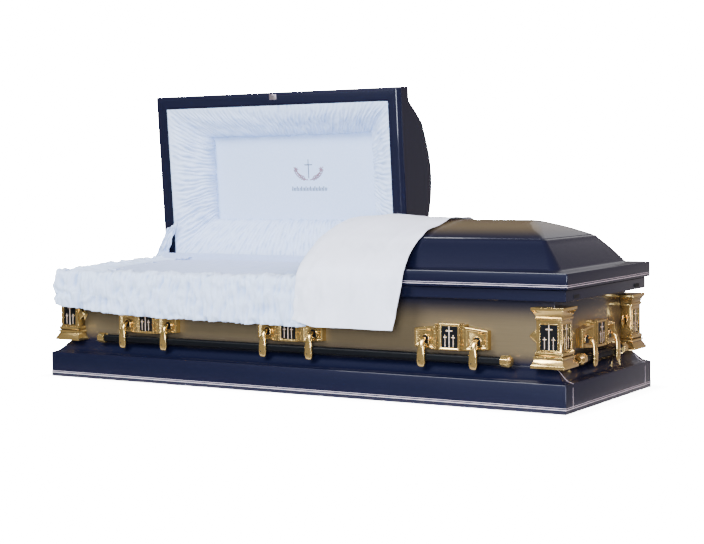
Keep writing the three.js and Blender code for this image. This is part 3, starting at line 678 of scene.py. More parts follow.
def make_seams(half_x, profile):
    """Lap seams up both end faces of the base, near each corner, painted silver as a painted highlight on
    their edges.
    """
    shape = bmesh.new()
    half_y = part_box("base_moulding")[1].y
    line = [p for p in profile if p[1] >= BASE_STRIPE_Z]
    line[0] = (line[0][0], BASE_STRIPE_Z)
    for end in (-1, 1):
        for side in (-1, 1):
            rows = []
            for inset, z in line:
                x = end * (half_x - inset + PROUD)
                lift = PROUD * ease(BASE_FACE_TOP - MM, BASE_FACE_TOP, z)
                y = side * min(SEAM_Y, half_y - inset - SEAM_FROM_EDGE)
                rows.append([shape.verts.new((x - end * back, y + w * SEAM_WIDTH / 2, z + lift))
                             for back, w in ((SHEET, -1), (0, -1), (0, 1), (SHEET, 1))])
            for lower, upper in zip(rows, rows[1:]):
                for i in range(4):
                    shape.faces.new((lower[i], lower[(i + 1) % 4], upper[(i + 1) % 4], upper[i]))
            shape.faces.new(rows[0])
            shape.faces.new(rows[-1][::-1])
    bmesh.ops.recalc_face_normals(shape, faces=shape.faces)
    # The seams' silver paint stands for the highlight that their raised edges catch
    seams = new_object("base_seams", mesh_of("base_seams", shape), "silver_line_and_seam_highlight")
    settle(seams, "casket", "steel")


WALL_ROWS = 28
WALL_CORNER = 2 * MM
# Bronze on the wall: the heights between which it comes in and goes out, and its most
BRONZE_IN = (135 * MM, 185 * MM)
BRONZE_OUT = (255 * MM, 345 * MM)
BRONZE_MOST = 0.95


def make_body():
    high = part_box("body_shell")[1]
    outside = [ring(high.x, high.y, z, WALL_CORNER) for z in np.linspace(0, high.z, WALL_ROWS)]
    inside = [ring(high.x - SHEET, high.y - SHEET, z, WALL_CORNER) for z in (high.z, SHEET)]
    mesh = closed(grid_mesh("body", np.array([*outside, *inside]), loop_columns=True))
    z = mesh_points(mesh)[:, 2]
    set_values(mesh, "bronze_share", BRONZE_MOST * ease(*BRONZE_IN, z) * (1 - ease(*BRONZE_OUT, z)))
    body = new_object("body", mesh, "lacquered_steel")
    soften(body)
    settle(body, "casket", "bronze_paint", "body_shell")


RAIL_EDGE = 2 * MM
RAIL_LAP = 12 * MM
PLUG_EDGE = 0.8 * MM


def make_rail():
    low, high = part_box("top_rail")
    inner = high.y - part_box("body_shell")[1].y
    edge = RAIL_EDGE
    lap = inner + RAIL_LAP
    wall = inner - CLEARANCE
    outline = [(wall, low.z), (edge, low.z), (0, low.z + edge), (0, high.z - edge), (edge, high.z),
               (lap, high.z), (lap, high.z - SHEET), (wall, high.z - SHEET)]
    mesh = frame_mesh("rail", high.x, high.y, outline)
    plain_bronze(mesh)
    rail = new_object("rail", mesh, "lacquered_steel")
    soften(rail, angle=40)
    settle(rail, "casket", "navy_paint", "top_rail")
    for side in ("front", "back"):
        rounded_copy(f"plug_{side}", f"rail_plug_{side}", "black_rubber", "casket", "rubber", PLUG_EDGE)


# Lids

RIM_BOTTOM = 384 * MM
RIM_TOP = 435.5 * MM
LID_EDGE = 2.5 * MM
LID_EDGE_CUT = 0.7 * MM
LEDGE = 52 * MM
LEDGE_TOP = 437 * MM
SLOPE_INSET = 58 * MM
SLOPE_FOOT = 441 * MM
SLOPE_STEPS = 8
SLOPE_SWELL = 3 * MM
SLOPE_CORNER = 33
SLOPE_CORNER_LOSS = 18
SHOULDER_INSET = 138 * MM
SHOULDER = 531 * MM
DOME_INSET = 146 * MM
DOME_FOOT = 534.5 * MM
DOME_END_RUN = 150 * MM
# Corners of the dome: radius at its foot, growth up to the ridge, and the most as a share of the width
DOME_CORNER = 0.014
DOME_CORNER_GROWTH = 0.066
DOME_CORNER_MOST = 0.6
RIDGE = 588 * MM
FLANGE = 50 * MM
SPLIT_FLANGE = 60 * MM
DOME_STEPS = 18
CORNER_STEPS = 8
END_EDGE = 2 * MM
RIM_CORNER = 3 * MM
RIM_STAGES = 3


def crown_stages():
    """Stages of the lid from the rim's bottom edge to the ridge: insets, height and corner radius."""
    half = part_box("foot_lid_shell")[1].y
    stages = [
        (LID_EDGE, RIM_BOTTOM, 2), (LID_EDGE_CUT, RIM_BOTTOM + LID_EDGE_CUT, 3),
        (0, RIM_BOTTOM + LID_EDGE, 3), (0, RIM_TOP - LID_EDGE, 3),
        (LID_EDGE_CUT, RIM_TOP - LID_EDGE_CUT, 3), (LID_EDGE, RIM_TOP, 3),
        (LEDGE - 6 * MM, LEDGE_TOP - 0.6 * MM, 32), (LEDGE, LEDGE_TOP + 0.6 * MM, SLOPE_CORNER),
        (LEDGE + 4 * MM, LEDGE_TOP + 2 * MM, SLOPE_CORNER),
        (SLOPE_INSET + 2 * MM, SLOPE_FOOT + 3 * MM, SLOPE_CORNER),
    ]
    foot = np.array(stages[-1][:2])
    head = np.array([SHOULDER_INSET - 6 * MM, SHOULDER - 8 * MM])
    for t in np.linspace(0, 1, SLOPE_STEPS)[1:]:
        inset, z = foot + (head - foot) * t
        swell = SLOPE_SWELL * math.sin(math.pi * t)
        stages.append((inset, z + swell, SLOPE_CORNER - SLOPE_CORNER_LOSS * t))
    stages += [(SHOULDER_INSET - 3 * MM, SHOULDER - 3.2 * MM, 15), (SHOULDER_INSET, SHOULDER - 0.8 * MM, 14),
               (SHOULDER_INSET + 3.5 * MM, SHOULDER + 0.8 * MM, 14),
               (DOME_INSET - 1 * MM, SHOULDER + 1.6 * MM, 14)]
    lower = [(inset, inset, z, corner * MM) for inset, z, corner in stages]
    dome = []
    for t in np.linspace(0, 1, DOME_STEPS + 1):
        side = DOME_INSET + (half - DOME_INSET) * t
        z = DOME_FOOT + (RIDGE - DOME_FOOT) * math.sin(t * math.pi / 2)
        corner = min(DOME_CORNER + DOME_CORNER_GROWTH * t, DOME_CORNER_MOST * (half - side))
        dome.append((DOME_INSET + DOME_END_RUN * t, side, z, corner))
    return [*lower, *dome]


def lid_ring(long, half_width, stage, from_split):
    """One level of a lid, from its split round its end and back."""
    end, side, z, corner = stage
    far, half = long - end, half_width - side
    points = [(from_split, -half, z), (from_split + END_EDGE, -half, z)]
    for turn, sign in ((-math.pi / 2, -1), (0, 1)):
        for step in range(CORNER_STEPS + 1):
            angle = turn + step / CORNER_STEPS * math.pi / 2
            points.append((far - corner + corner * math.cos(angle),
                           sign * (half - corner) + corner * math.sin(angle), z))
    points += [(from_split + END_EDGE, half, z), (from_split, half, z)]
    return points


def lid_mesh(name, long):
    """A hollow lid measured from its split, shut, with a flange inwards round its mouth."""
    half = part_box("foot_lid_shell")[1].y
    stages = crown_stages()
    outside = [lid_ring(long, half, stage, 0) for stage in stages]
    mouth = [lid_ring(long, half, (FLANGE, FLANGE, z, RIM_CORNER), SPLIT_FLANGE)
             for z in (RIM_BOTTOM + SHEET, RIM_BOTTOM)]
    inside = []
    for i, (end, side, z, corner) in enumerate(stages):
        level = z + SHEET if i < RIM_STAGES else z - SHEET
        inside.append(lid_ring(long, half, (end + SHEET, min(side + SHEET, half), level, corner), SHEET))
    return grid_mesh(name, np.array([*inside[::-1], *mouth, *outside]), loop_columns=True)


# Bronze on the crown: heights between which it comes in, its most, its loss on the end and that edge
CROWN_FADE = (DOME_FOOT + 2 * MM, DOME_FOOT + 42 * MM)
CROWN_BRONZE = 0.95
CROWN_END_LOSS = 0.5
CROWN_END_FADE = 0.2


def crown_share(points, long, half):
    """Bronze on the crown of a shut lid, fading to navy at its shoulders."""
    rise = ease(*CROWN_FADE, points[:, 2]) * (points[:, 0] > END_EDGE / 2)
    from_end = (long - DOME_INSET - points[:, 0]) / DOME_END_RUN
    from_side = (half - DOME_INSET - np.abs(points[:, 1])) / (half - DOME_INSET)
    on_end = ease(0, CROWN_END_FADE, from_side - from_end)
    return rise * (CROWN_BRONZE - CROWN_END_LOSS * on_end)


def place_lid(mesh, sign, split, long, opened):
    """Moves a lid mesh from its split to its end of the casket, and opens it where asked."""
    points = mesh_points(mesh)
    share = crown_share(points, long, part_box("foot_lid_shell")[1].y)
    points[:, 0] = split + sign * points[:, 0]
    if opened:
        points = open_lid(points)
    mesh.vertices.foreach_set("co", points.ravel())
    if sign < 0:
        mesh.flip_normals()
    set_values(mesh, "bronze_share", share)
    return tidy(mesh)


def make_lids():
    foot_low, foot_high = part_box("foot_lid_shell")
    head_low, head_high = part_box("head_lid_shell")
    for name, sign, split, long, body, opened in (
            ("foot_lid", 1, foot_low.x, foot_high.x - foot_low.x, "foot_lid", False),
            ("head_lid", -1, head_high.x, head_high.x - head_low.x, "head_lid", True)):
        mesh = place_lid(lid_mesh(name, long), sign, split, long, opened)
        lid = new_object(f"{name}_crown", mesh, "lacquered_steel")
        soften(lid, angle=32)
        settle(lid, body, "navy_paint", f"{name}_shell")
        half = foot_high.y
        for label, rise, height in stripe_pair(name):
            outline = stripe_outline(0, RIM_STRIPE_Z + rise, height)
            rings = [lid_ring(long, half, (inset, inset, z, RIM_CORNER), 0) for inset, z in outline]
            line = grid_mesh(label, np.array(rings), loop_rows=True)
            line = place_lid(line, sign, split, long, opened)
            piece = new_object(label, line, "silver_line_and_seam_highlight")
            settle(piece, body, "steel")
    make_gasket(head_high.x)


GASKET_FROM = 2 * MM
GASKET_TO = 27 * MM
GASKET_FRONT = 6 * MM
GASKET_BACK = 60 * MM
GASKET_ROWS = 24
# Its lips' width and where its floor starts, then how far its feet, lips and floor stand out, in mm
GASKET_LIP = 4 * MM
GASKET_FLOOR = 6 * MM
GASKET_OUT = (0.2, 1.6, 0.7)


def make_gasket(split):
    """A shallow channel along the open lid's edge at the split."""
    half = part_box("foot_lid_shell")[1].y
    near, far = GASKET_FROM, GASKET_TO
    foot, lip, floor = GASKET_OUT
    section = [(near, foot), (near, lip), (near + GASKET_LIP, lip), (near + GASKET_FLOOR, floor),
               (far - GASKET_FLOOR, floor), (far - GASKET_LIP, lip), (far, lip), (far, foot)]
    rows = [[(split - along, y, RIM_BOTTOM - drop * MM) for along, drop in section]
            for y in np.linspace(GASKET_FRONT - half, half - GASKET_BACK, GASKET_ROWS)]
    mesh = closed(grid_mesh("split_gasket", open_lid(np.array(rows)), loop_columns=True))
    settle(new_object("split_gasket", mesh, "lacquered_steel"), "head_lid", "navy_paint")


BARREL_LENGTH = 48 * MM
BARREL_RADIUS = 4.6 * MM
BARREL_GAP = 1 * MM
HINGE_EDGE = 0.4 * MM
CATCH_EDGE = 0.6 * MM


def make_hinges():
    for end in ("head", "foot"):
        for turn, (part, body) in enumerate((("rail", "casket"), ("lid", f"{end}_lid"))):
            node = f"hinge_{end}_{part}_leaf"
            rounded_copy(f"leaf_{end}_{part}", node, "nickel_plate", body, "steel", HINGE_EDGE)
            low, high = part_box(node)
            first = low.x + BARREL_LENGTH * (0.5 + turn)
            pitch = 2 * BARREL_LENGTH
            last = first + pitch * int((high.x - BARREL_LENGTH / 2 - first) / pitch)
            line = bpy.data.meshes.new("hinge_line")
            line.from_pydata([(x, HINGE_AT[1], HINGE_AT[2]) for x in (first, last)], [(0, 1)], [])
            barrels = new_object(f"barrels_{end}_{part}", line)
            grow(barrels, bpy.data.node_groups["Barrels"],
                 {"Pitch": pitch, "Length": BARREL_LENGTH - BARREL_GAP, "Radius": BARREL_RADIUS,
                  "Material": FINISHES["nickel_plate"]})
            soften(barrels, angle=40)
            settle(barrels, body, "steel")
    rounded_copy("catch", "lid_catch", "nickel_plate", "head_lid", "steel", CATCH_EDGE)


# Gold hardware

PANEL_FLOOR = 0.7 * MM
PLATE_SINK = 0.1 * MM
BEAD_WIDTH = 2.4 * MM
BEAD_OUT = 4.9 * MM
BEAD_LAP = 0.4 * MM


def face_turn(outward):
    """Turns a shape drawn with its outer side towards -Y to face along a horizontal direction."""
    return Matrix.Rotation(math.atan2(outward[1], outward[0]) + math.pi / 2, 4, "Z")


def enamel_plate(name, centre, outward, width, bottom, top):
    """The meshes of a thin dark plate on a sunk panel's floor and of the bead round it."""
    place = Matrix.Translation(Vector(centre)) @ face_turn(outward)
    plate = bmesh.new()
    bead = bmesh.new()
    half = width / 2
    add_box(plate, (-half, -PANEL_FLOOR, bottom), (half, PLATE_SINK, top))
    low, high = bottom - BEAD_WIDTH, top + BEAD_WIDTH
    for x0, x1, z0, z1 in ((-half - BEAD_WIDTH, BEAD_LAP - half, low, high),
                           (half - BEAD_LAP, half + BEAD_WIDTH, low, high),
                           (-half, half, low, bottom + BEAD_LAP), (-half, half, top - BEAD_LAP, high)):
        add_box(bead, (x0, -BEAD_OUT, z0), (x1, 0, z1))
    meshes = [mesh_of(f"{name}_plate", plate), mesh_of(f"{name}_bead", bead)]
    for mesh in meshes:
        mesh.transform(place)
    return meshes


def joined(name, meshes):
    shape = bmesh.new()
    for mesh in meshes:
        shape.from_mesh(mesh)
    return mesh_of(name, shape)


def box_mesh(low, high):
    """A plain block between two corners, in mm."""
    shape = bmesh.new()
    add_box(shape, Vector(low) * MM, Vector(high) * MM)
    return mesh_of("block", shape)


# Crosses on a sunk panel, in mm: half widths of the upright and its arm, the arm's drop from the top, height
TALL_CROSS = (1.4, 11.3, 15, None)
SMALL_CROSS = (1.0, 5.8, 8, 38)
SMALL_CROSS_FROM = 15
SMALL_CROSS_LIFT = 3
CROSS_PROUD = 3.6
CROSS_RIM = 0.8
CROSS_RIM_PROUD = 3.3
CROSS_STEP = 0.1


def cross_meshes(floor, foot, top, rim=0.0, proud=CROSS_PROUD):
    """Three crosses on a panel, the middle one its full height, each with a rim round it where asked."""
    for place, (half, arm, down, tall) in ((0, TALL_CROSS), (-SMALL_CROSS_FROM, SMALL_CROSS),
                                           (SMALL_CROSS_FROM, SMALL_CROSS)):
        low = foot + SMALL_CROSS_LIFT if tall else foot
        high = low + tall if tall else top
        wide = half + rim
        yield box_mesh((place - wide, -floor - proud, low - rim), (place + wide, -floor, high + rim))
        yield box_mesh((place - arm - rim, -floor - proud + CROSS_STEP, high - down - wide),
                       (place + arm + rim, -floor, high - down + wide))


PILLAR_FLOOR_OUT = 34 * MM
PILLAR_PANEL = 60 * MM
PILLAR_PANEL_Z = (194 * MM, 274 * MM)
PILLAR_MIDDLE = 4 * MM
# The pointed leaf beside a pillar, in mm: its middle from the corner, out and up, and half its sizes
PILLAR_LEAF = (46, 32, 236)
PILLAR_LEAF_HALF = (23, 5, 23)
LEAF_CUT = -5
LEAF_ROWS = 17
LEAF_ROUND = 12
LEAF_RIB = 0.16
LEAF_POINT = 1.4
LEAF_MERGE = 0.1 * MM


def leaf_mesh(away):
    """A pointed leaf on the side of a pillar, drawn against a wall towards -Y, with its ribs."""
    middle, out, height = PILLAR_LEAF
    long, deep, tall = PILLAR_LEAF_HALF
    rows = []
    for up in np.linspace(-1, 1, LEAF_ROWS):
        reach = 1 - abs(up) ** LEAF_POINT
        row = []
        for angle in np.linspace(0, 2 * math.pi, LEAF_ROUND, endpoint=False):
            rib = 1 + LEAF_RIB * math.cos(2 * angle)
            beyond = max(LEAF_CUT, long * reach * rib * math.cos(angle))
            row.append((away * (middle + beyond) * MM, -(out + deep * reach * math.sin(angle)) * MM,
                        (height + tall * up) * MM))
        rows.append(row)
    return tidy(grid_mesh("leaf", np.array(rows), loop_columns=True), LEAF_MERGE)


def make_pillars():
    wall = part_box("body_shell")[1]
    for end, ex in (("head", -1), ("foot", 1)):
        for side, sy in (("front", -1), ("back", 1)):
            name = f"pillar_{end}_{side}"
            corner = Vector((ex * wall.x, sy * wall.y, 0))
            gold = [node_copy(name, name)]
            dark = []
            pale = []
            for outward, centre in (
                    ((0, sy), corner + Vector((-ex * PILLAR_MIDDLE, sy * PILLAR_FLOOR_OUT, 0))),
                    ((ex, 0), corner + Vector((ex * PILLAR_FLOOR_OUT, -sy * PILLAR_MIDDLE, 0)))):
                turn = face_turn(outward)
                plate, bead = enamel_plate(name, centre, outward, PILLAR_PANEL, *PILLAR_PANEL_Z)
                crosses = joined(name, cross_meshes(0, *(z / MM for z in PILLAR_PANEL_Z)))
                crosses.transform(Matrix.Translation(centre) @ turn)
                inward = Vector((-ex, 0, 0)) if outward[1] else Vector((0, -sy, 0))
                leaf = leaf_mesh(1 if (turn.inverted() @ inward).x > 0 else -1)
                leaf.transform(Matrix.Translation(corner) @ turn)
                gold += [bead, leaf]
                dark.append(plate)
                pale.append(crosses)
            cast = new_object(f"cast_{name}", joined(name, gold), "plated_gold")
            round_edges(cast, sizes().edge)
            settle(cast, "casket", "gold_plate", name)
            enamel = new_object(f"enamel_{name}", joined(name, dark), "black_enamel_and_hole_shade")
            settle(enamel, "casket", "black_paint")
            crosses = new_object(f"crosses_{name}", joined(name, pale), "pale_plate")
            round_edges(crosses, FINE_EDGE)
            settle(crosses, "casket", "gold_plate")


FINE_EDGE = 0.5 * MM
# Ears, in mm: across from the middle, out from the wall, foot and top where the side plates start and end
EAR_INNER = (54, 31, 175, 254)
EAR_END = (134, 26, 182, 244)
EAR_MIDDLE = (38, 36, 176, 263)
EAR_PANEL_EDGE = 9
EAR_PANEL_DROP = 4
EAR_PANEL_STEP = (EAR_PANEL_EDGE - 1, 2)
# The dark plate in an ear: its gap at the sides, and how far it stands out of and behind the panel's floor
EAR_PLATE_GAP = 0.2
EAR_PLATE = (0.6, 0.5)
# How far an ear's ribs end above its foot and below its top
EAR_RIB_ENDS = (1, 2)
EAR_RIBS = [(37.5, 34), (40, 35.6), (42, 32.4), (44.2, 35), (46.4, 32), (49, 34.6), (51.5, 31.6),
            (54.5, 31.4)]
EAR_BACK = 0.3
RAISED_EDGE = [(0, 1.6), (0.5, 0.5), (1.6, 0), (4.2, 0), (5.6, 0.6)]
WING_EDGE = [(0, 2.4), (1, 0.7), (2.6, 0), (6.5, 0), (8, 0.8), (14, 6), (15, 6.6)]
ARM_FROM = 95
# The arched hole that an arm hangs from, filled with a black plate that is painted shade, in mm: half width,
# foot, springing, and how far out
ARCH = (14, 195, 209, 23)
ARCH_BEAD = 2.4
ARCH_BEAD_SIDES = 10
ARCH_STEPS = 13


def handle_sets():
    """Each handle set: its name, its outward direction, and its ears' names and points on the wall."""
    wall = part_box("body_shell")[1]
    for name, outward in (("front", (0, -1)), ("back", (0, 1)), ("foot", (1, 0)), ("head", (-1, 0))):
        labels = [f"{name}_{i}" for i in (1, 2, 3)] if outward[1] else [name]
        places = []
        for label in labels:
            low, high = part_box(f"ear_{label}")
            middle = (low + high) / 2
            places.append((label, Vector((middle.x if outward[1] else outward[0] * wall.x,
                                          outward[1] * wall.y if outward[1] else middle.y, 0))))
        yield name, outward, places


def ring_mesh(name, major, minor, around, section):
    """A plain ring whose axis is Y."""
    turn = np.linspace(0, 2 * math.pi, around, endpoint=False)
    roll = np.linspace(0, 2 * math.pi, section, endpoint=False)
    a, b = np.meshgrid(turn, roll, indexing="ij")
    reach = major + minor * np.cos(b)
    points = np.stack([reach * np.cos(a), minor * np.sin(b), reach * np.sin(a)], -1)
    return tidy(grid_mesh(name, points, True, True))


def framed_plate(near, far, steps):
    """A plate between two uprights, towards -Y, whose edge rises and sinks by steps of inset and drop."""
    rows = []
    for inset, drop in [(0, None), *steps]:
        left, right = near[0] + inset, far[0] - inset
        row = []
        for across, at_top in ((left, False), (right, False), (right, True), (left, True)):
            t = (across - near[0]) / (far[0] - near[0])
            out, foot, top = (near[i] + (far[i] - near[i]) * t for i in (1, 2, 3))
            z = top - inset if at_top else foot + inset
            row.append((across * MM, -(EAR_BACK if drop is None else out - drop) * MM, z * MM))
        rows.append(row)
    return closed(grid_mesh("plate", np.array(rows), loop_columns=True))


def ribs_mesh(side):
    """Upright ribs between the middle of an ear and one side plate."""
    foot, top = EAR_MIDDLE[2] + EAR_RIB_ENDS[0], EAR_MIDDLE[3] - EAR_RIB_ENDS[1]
    plan = [(EAR_RIBS[0][0], EAR_BACK), *EAR_RIBS, (EAR_RIBS[-1][0], EAR_BACK)]
    rows = [[(side * x * MM, -out * MM, z * MM) for x, out in plan] for z in (foot, top)]
    return closed(grid_mesh("ribs", np.array(rows), loop_columns=True))


def arch_line():
    """Outline of an ear's hole, across and up, from one foot to the other."""
    half, foot, spring, _ = ARCH
    turn = np.linspace(math.pi, 0, ARCH_STEPS)
    return [(-half, foot), *((half * math.cos(a), spring + half * math.sin(a)) for a in turn), (half, foot)]


def arch_meshes(side):
    """The gold bead round one hole, and a black plate in the hole that is painted shade."""
    line = np.array(arch_line())
    along = np.gradient(line, axis=0)
    along /= np.linalg.norm(along, axis=1)[:, None]
    turn = np.linspace(0, 2 * math.pi, ARCH_BEAD_SIDES, endpoint=False)
    rows = []
    for (x, z), (dx, dz) in zip(line, along):
        rows.append([(x - dz * ARCH_BEAD * math.cos(a), ARCH_BEAD * math.sin(a),
                      z + dx * ARCH_BEAD * math.cos(a)) for a in turn])
    bead = closed(grid_mesh("bead", np.array(rows) * MM, loop_columns=True))
    sides = np.array([[(x, y, z) for x, z in line] for y in (1, -1)]) * MM
    inside = closed(grid_mesh("hole", sides, loop_columns=True))
    slant = math.atan2(EAR_INNER[1] - EAR_END[1], EAR_END[0] - EAR_INNER[0])
    place = Matrix.Translation(Vector((side * ARM_FROM, -ARCH[3], 0)) * MM)
    for mesh in (bead, inside):
        mesh.transform(place @ Matrix.Rotation(side * slant, 4, "Z"))
    return bead, inside


def ear_meshes():
    """An ear drawn against a wall towards -Y: its gold parts, its dark parts, which hold its enamel plate and
    the painted shade in its holes, and its crosses.
    """
    across, out, foot, top = EAR_MIDDLE
    floor = out - EAR_PANEL_DROP
    sunk = [*RAISED_EDGE, EAR_PANEL_STEP, (EAR_PANEL_EDGE, EAR_PANEL_DROP)]
    gold = [framed_plate((-across, out, foot, top), (across, out, foot, top), sunk)]
    panel = (foot + EAR_PANEL_EDGE, top - EAR_PANEL_EDGE)
    gold += cross_meshes(floor, *panel, CROSS_RIM, CROSS_RIM_PROUD)
    pale = list(cross_meshes(floor, *panel))
    half = across - EAR_PANEL_EDGE - EAR_PLATE_GAP
    dark = [box_mesh((-half, -floor - EAR_PLATE[0], panel[0]), (half, -floor + EAR_PLATE[1], panel[1]))]
    plate = framed_plate(EAR_INNER, EAR_END, WING_EDGE)
    for side in (-1, 1):
        wing = plate.copy()
        wing.transform(Matrix.Diagonal((side, 1, 1, 1)))
        if side < 0:
            wing.flip_normals()
        bead, hole = arch_meshes(side)
        gold += [wing, ribs_mesh(side), bead]
        dark.append(hole)
    return joined("ear", gold), joined("ear_dark", dark), joined("ear_crosses", pale)


def make_ears():
    gold, dark, pale = ear_meshes()
    for _, outward, places in handle_sets():
        for label, wall_point in places:
            place = Matrix.Translation(wall_point) @ face_turn(outward)
            for kind, mesh, finish, slot, nodes in (
                    ("cast", gold, "plated_gold", "gold_plate", [f"ear_{label}"]),
                    ("crosses", pale, "pale_plate", "gold_plate", []),
                    # The enamel pieces also hold black plates in the arm holes, which are painted shade
                    ("enamel", dark, "black_enamel_and_hole_shade", "black_paint", [])):
                shape = mesh.copy()
                shape.transform(place)
                piece = new_object(f"{kind}_ear_{label}", shape, finish)
                round_edges(piece, sizes().edge if kind == "cast" else FINE_EDGE)
                settle(piece, "casket", slot, *nodes)


# Stages of a swing arm, in mm: height, middle of its thickness from the wall, half thickness, half width
ARM_STAGES = [(215, 30, 5, 6), (211, 36, 7.5, 8.5), (203, 42, 7.5, 9), (194, 46.5, 6.6, 9.5),
              (184, 49.6, 6, 11), (176, 51.2, 5.4, 12.4), (160, 52.4, 5.2, 14.2), (144, 52.6, 5, 14.8),
              (133, 52.2, 4.8, 14), (126, 51.6, 4.2, 12.4), (122, 51.2, 3, 9.8), (120.8, 51, 1, 6)]
# Heights between which the leaf's ribs come in at its neck and go out at its foot
LEAF_NECK = (194 * MM, 176 * MM)
LEAF_FOOT = (121 * MM, 130 * MM)
RIB_HEIGHT = 0.06
SCALLOP = 0.02
SCALLOP_RUN = 4.2 * MM
ARM_ROWS = 44
# The screw's dark ring on each leaf: its radius, its thickness' radius, and its steps round both
SCREW = (1.6 * MM, 1.2 * MM, 14, 8)
SCREW_AT = (-5 * MM, -57 * MM, 140 * MM)
ARM_ROUND = 24
ARM_SQUARE = 0.7


def arm_mesh(name):
    """A leaf-shaped arm with ribs on its outer face, drawn against a wall towards -Y."""
    rows = []
    for z, out, half, wide in curve_through(ARM_STAGES, ARM_ROWS) * MM:
        leaf = ease(*LEAF_NECK, z) * ease(*LEAF_FOOT, z)
        scallop = 1 + leaf * SCALLOP * math.sin(z / SCALLOP_RUN)
        row = []
        for angle in np.linspace(0, 2 * math.pi, ARM_ROUND, endpoint=False):
            across, deep = (math.copysign(abs(s) ** ARM_SQUARE, s)
                            for s in (math.cos(angle), math.sin(angle)))
            rib = 1 + leaf * RIB_HEIGHT * math.cos(sizes().leaf_ribs * math.pi * across) * max(deep, 0)
            row.append((wide * across * scallop, -(out + half * deep * rib), z))
        rows.append(row)
    return closed(grid_mesh(name, np.array(rows), loop_columns=True))


def make_arms():
    for name, outward, places in handle_sets():
        for label, wall_point in places:
            for letter, side in (("a", -1), ("b", 1)):
                node = f"arm_{label}_{letter}"
                place = (Matrix.Translation(wall_point) @ face_turn(outward)
                         @ Matrix.Translation((side * ARM_FROM * MM, 0, 0)))
                leaf = new_object(f"leaf_{node}", arm_mesh(node), "plated_gold")
                leaf.data.transform(place)
                leaf.data.shade_smooth()
                settle(leaf, f"{name}_bar", "gold_plate", node)
                mark = new_object(f"screw_{node}", ring_mesh("screw", *SCREW), "black_enamel_and_hole_shade")
                mark.data.transform(place @ Matrix.Translation(SCREW_AT))
                mark.data.shade_smooth()
                settle(mark, f"{name}_bar", "black_paint")


BAR_EDGE = 2.5 * MM
TIP_EDGE = 1.6 * MM


def make_bars():
    for name, _, _ in handle_sets():
        body = f"{name}_bar"
        rounded_copy(f"rod_{name}", f"bar_{name}", "dark_lacquer", body, "black_paint", BAR_EDGE, segments=3)
        for letter in "ab":
            node = f"tip_{name}_{letter}"
            rounded_copy(f"cap_{node}", node, "plated_gold", body, "gold_plate", TIP_EDGE,
                         segments=3, angle=15)


# Lining

# Gathers: width and depth in shares of the settings, length in widths, how regular and how crumpled
BED_GATHERS = (2.8, 2.4, 5, 0.5, 1.5)
APRON_GATHERS = (2.1, 3.1, 1.5, 0.35, 2.3)
BACK_GATHERS = (1, 0.5, 5, 0.4, 1.2)
GUSSET_GATHERS = (1.6, 2.4, 1.8, 0.4, 2.2)
ROLL_GATHERS = (1.7, 2.4, 1.8, 0.55, 1.6)
PANEL_GATHERS = (6, 0.4, 2, 0.0, 0.6)
THROW_GATHERS = (3.6, 3.6, 1.8, 0.0, 1.6)
CLOTH_THICK = 1.5 * MM


def gathered(piece, finish, gathers, seed):
    """Raises gathers on a piece."""
    width, depth, stretch, pleats, crumple = gathers
    return grow(piece, bpy.data.node_groups["Gathers"],
                {"Width": sizes().gather * width, "Depth": sizes().gather_depth * depth, "Stretch": stretch,
                 "Pleats": pleats, "Crumple": crumple, "Seed": float(seed), "Material": FINISHES[finish]})


def cloth_piece(name, points, finish, gathers, seed, full=1.0, flat=None):
    """A gathered cloth of some thickness over points in rows and columns, measured flat where given."""
    mesh = grid_mesh(name, points)
    set_cloth_places(mesh, points if flat is None else flat)
    set_values(mesh, "fullness", np.broadcast_to(full, points.shape[:2]))
    cloth = new_object(name, mesh)
    gathered(cloth, finish, gathers, seed)
    cloth.data.shade_smooth()
    give_thickness(cloth, CLOTH_THICK)
    return cloth


BED_STEP = 8 * MM
BED_TOP_FOOT = 376 * MM
BED_TOP_HEAD = 400 * MM
BED_TILT = 0.05
BED_BEND = (-120 * MM, 25 * MM)
BED_ROUND = 120
BED_END = 45 * MM
BED_INSET = 3 * MM
BED_CROWN = 7 * MM
BED_FRAME_EDGE = 1.5 * MM
# How square the bed's section is across and up, and how much of both is left at its ends
BED_SQUARE = (0.32, 0.45)
BED_END_SHARE = (0.9, 0.25)
# The line from the front to the head's back past which the bed's cloth is gathered, and how soft that edge is
CREPE_LINE = np.array(((-250 * MM, -300 * MM), (-900 * MM, 300 * MM)))
CREPE_SOFT = 25 * MM
CREPE_FROM = 60 * MM
PLAIN_FULLNESS = 0.12


def bed_top(x, y):
    """Height of the bed's top, which is raised and tilted at the head."""
    lift = 1 - float(ease(*BED_BEND, x))
    return BED_TOP_FOOT + lift * (BED_TOP_HEAD - BED_TOP_FOOT + BED_TILT * y)


def bed_points(low, high):
    """Points of the bed in rows across it, from the head to the foot."""
    rows = []
    for x in np.arange(low.x, high.x + BED_STEP / 2, BED_STEP):
        near_end = min((x - low.x) / BED_END, (high.x - x) / BED_END, 1)
        pinch = math.sqrt(max(0.0, 1 - (1 - near_end) ** 2))
        wide, tall = (share + (1 - share) * pinch for share in BED_END_SHARE)
        lift = 1 - float(ease(*BED_BEND, x))
        row = []
        for angle in np.linspace(0, 2 * math.pi, BED_ROUND, endpoint=False):
            across, up = (math.copysign(abs(s) ** power, s)
                          for s, power in zip((math.cos(angle), math.sin(angle)), BED_SQUARE))
            y = across * (high.y - BED_INSET) * wide
            top = bed_top(x, y)
            crown = BED_CROWN * (1 - (y / high.y) ** 2) * max(up, 0) * lift
            row.append((x, y, (low.z + top) / 2 + (top - low.z) / 2 * up * tall + crown))
        rows.append(row)
    return np.array(rows)


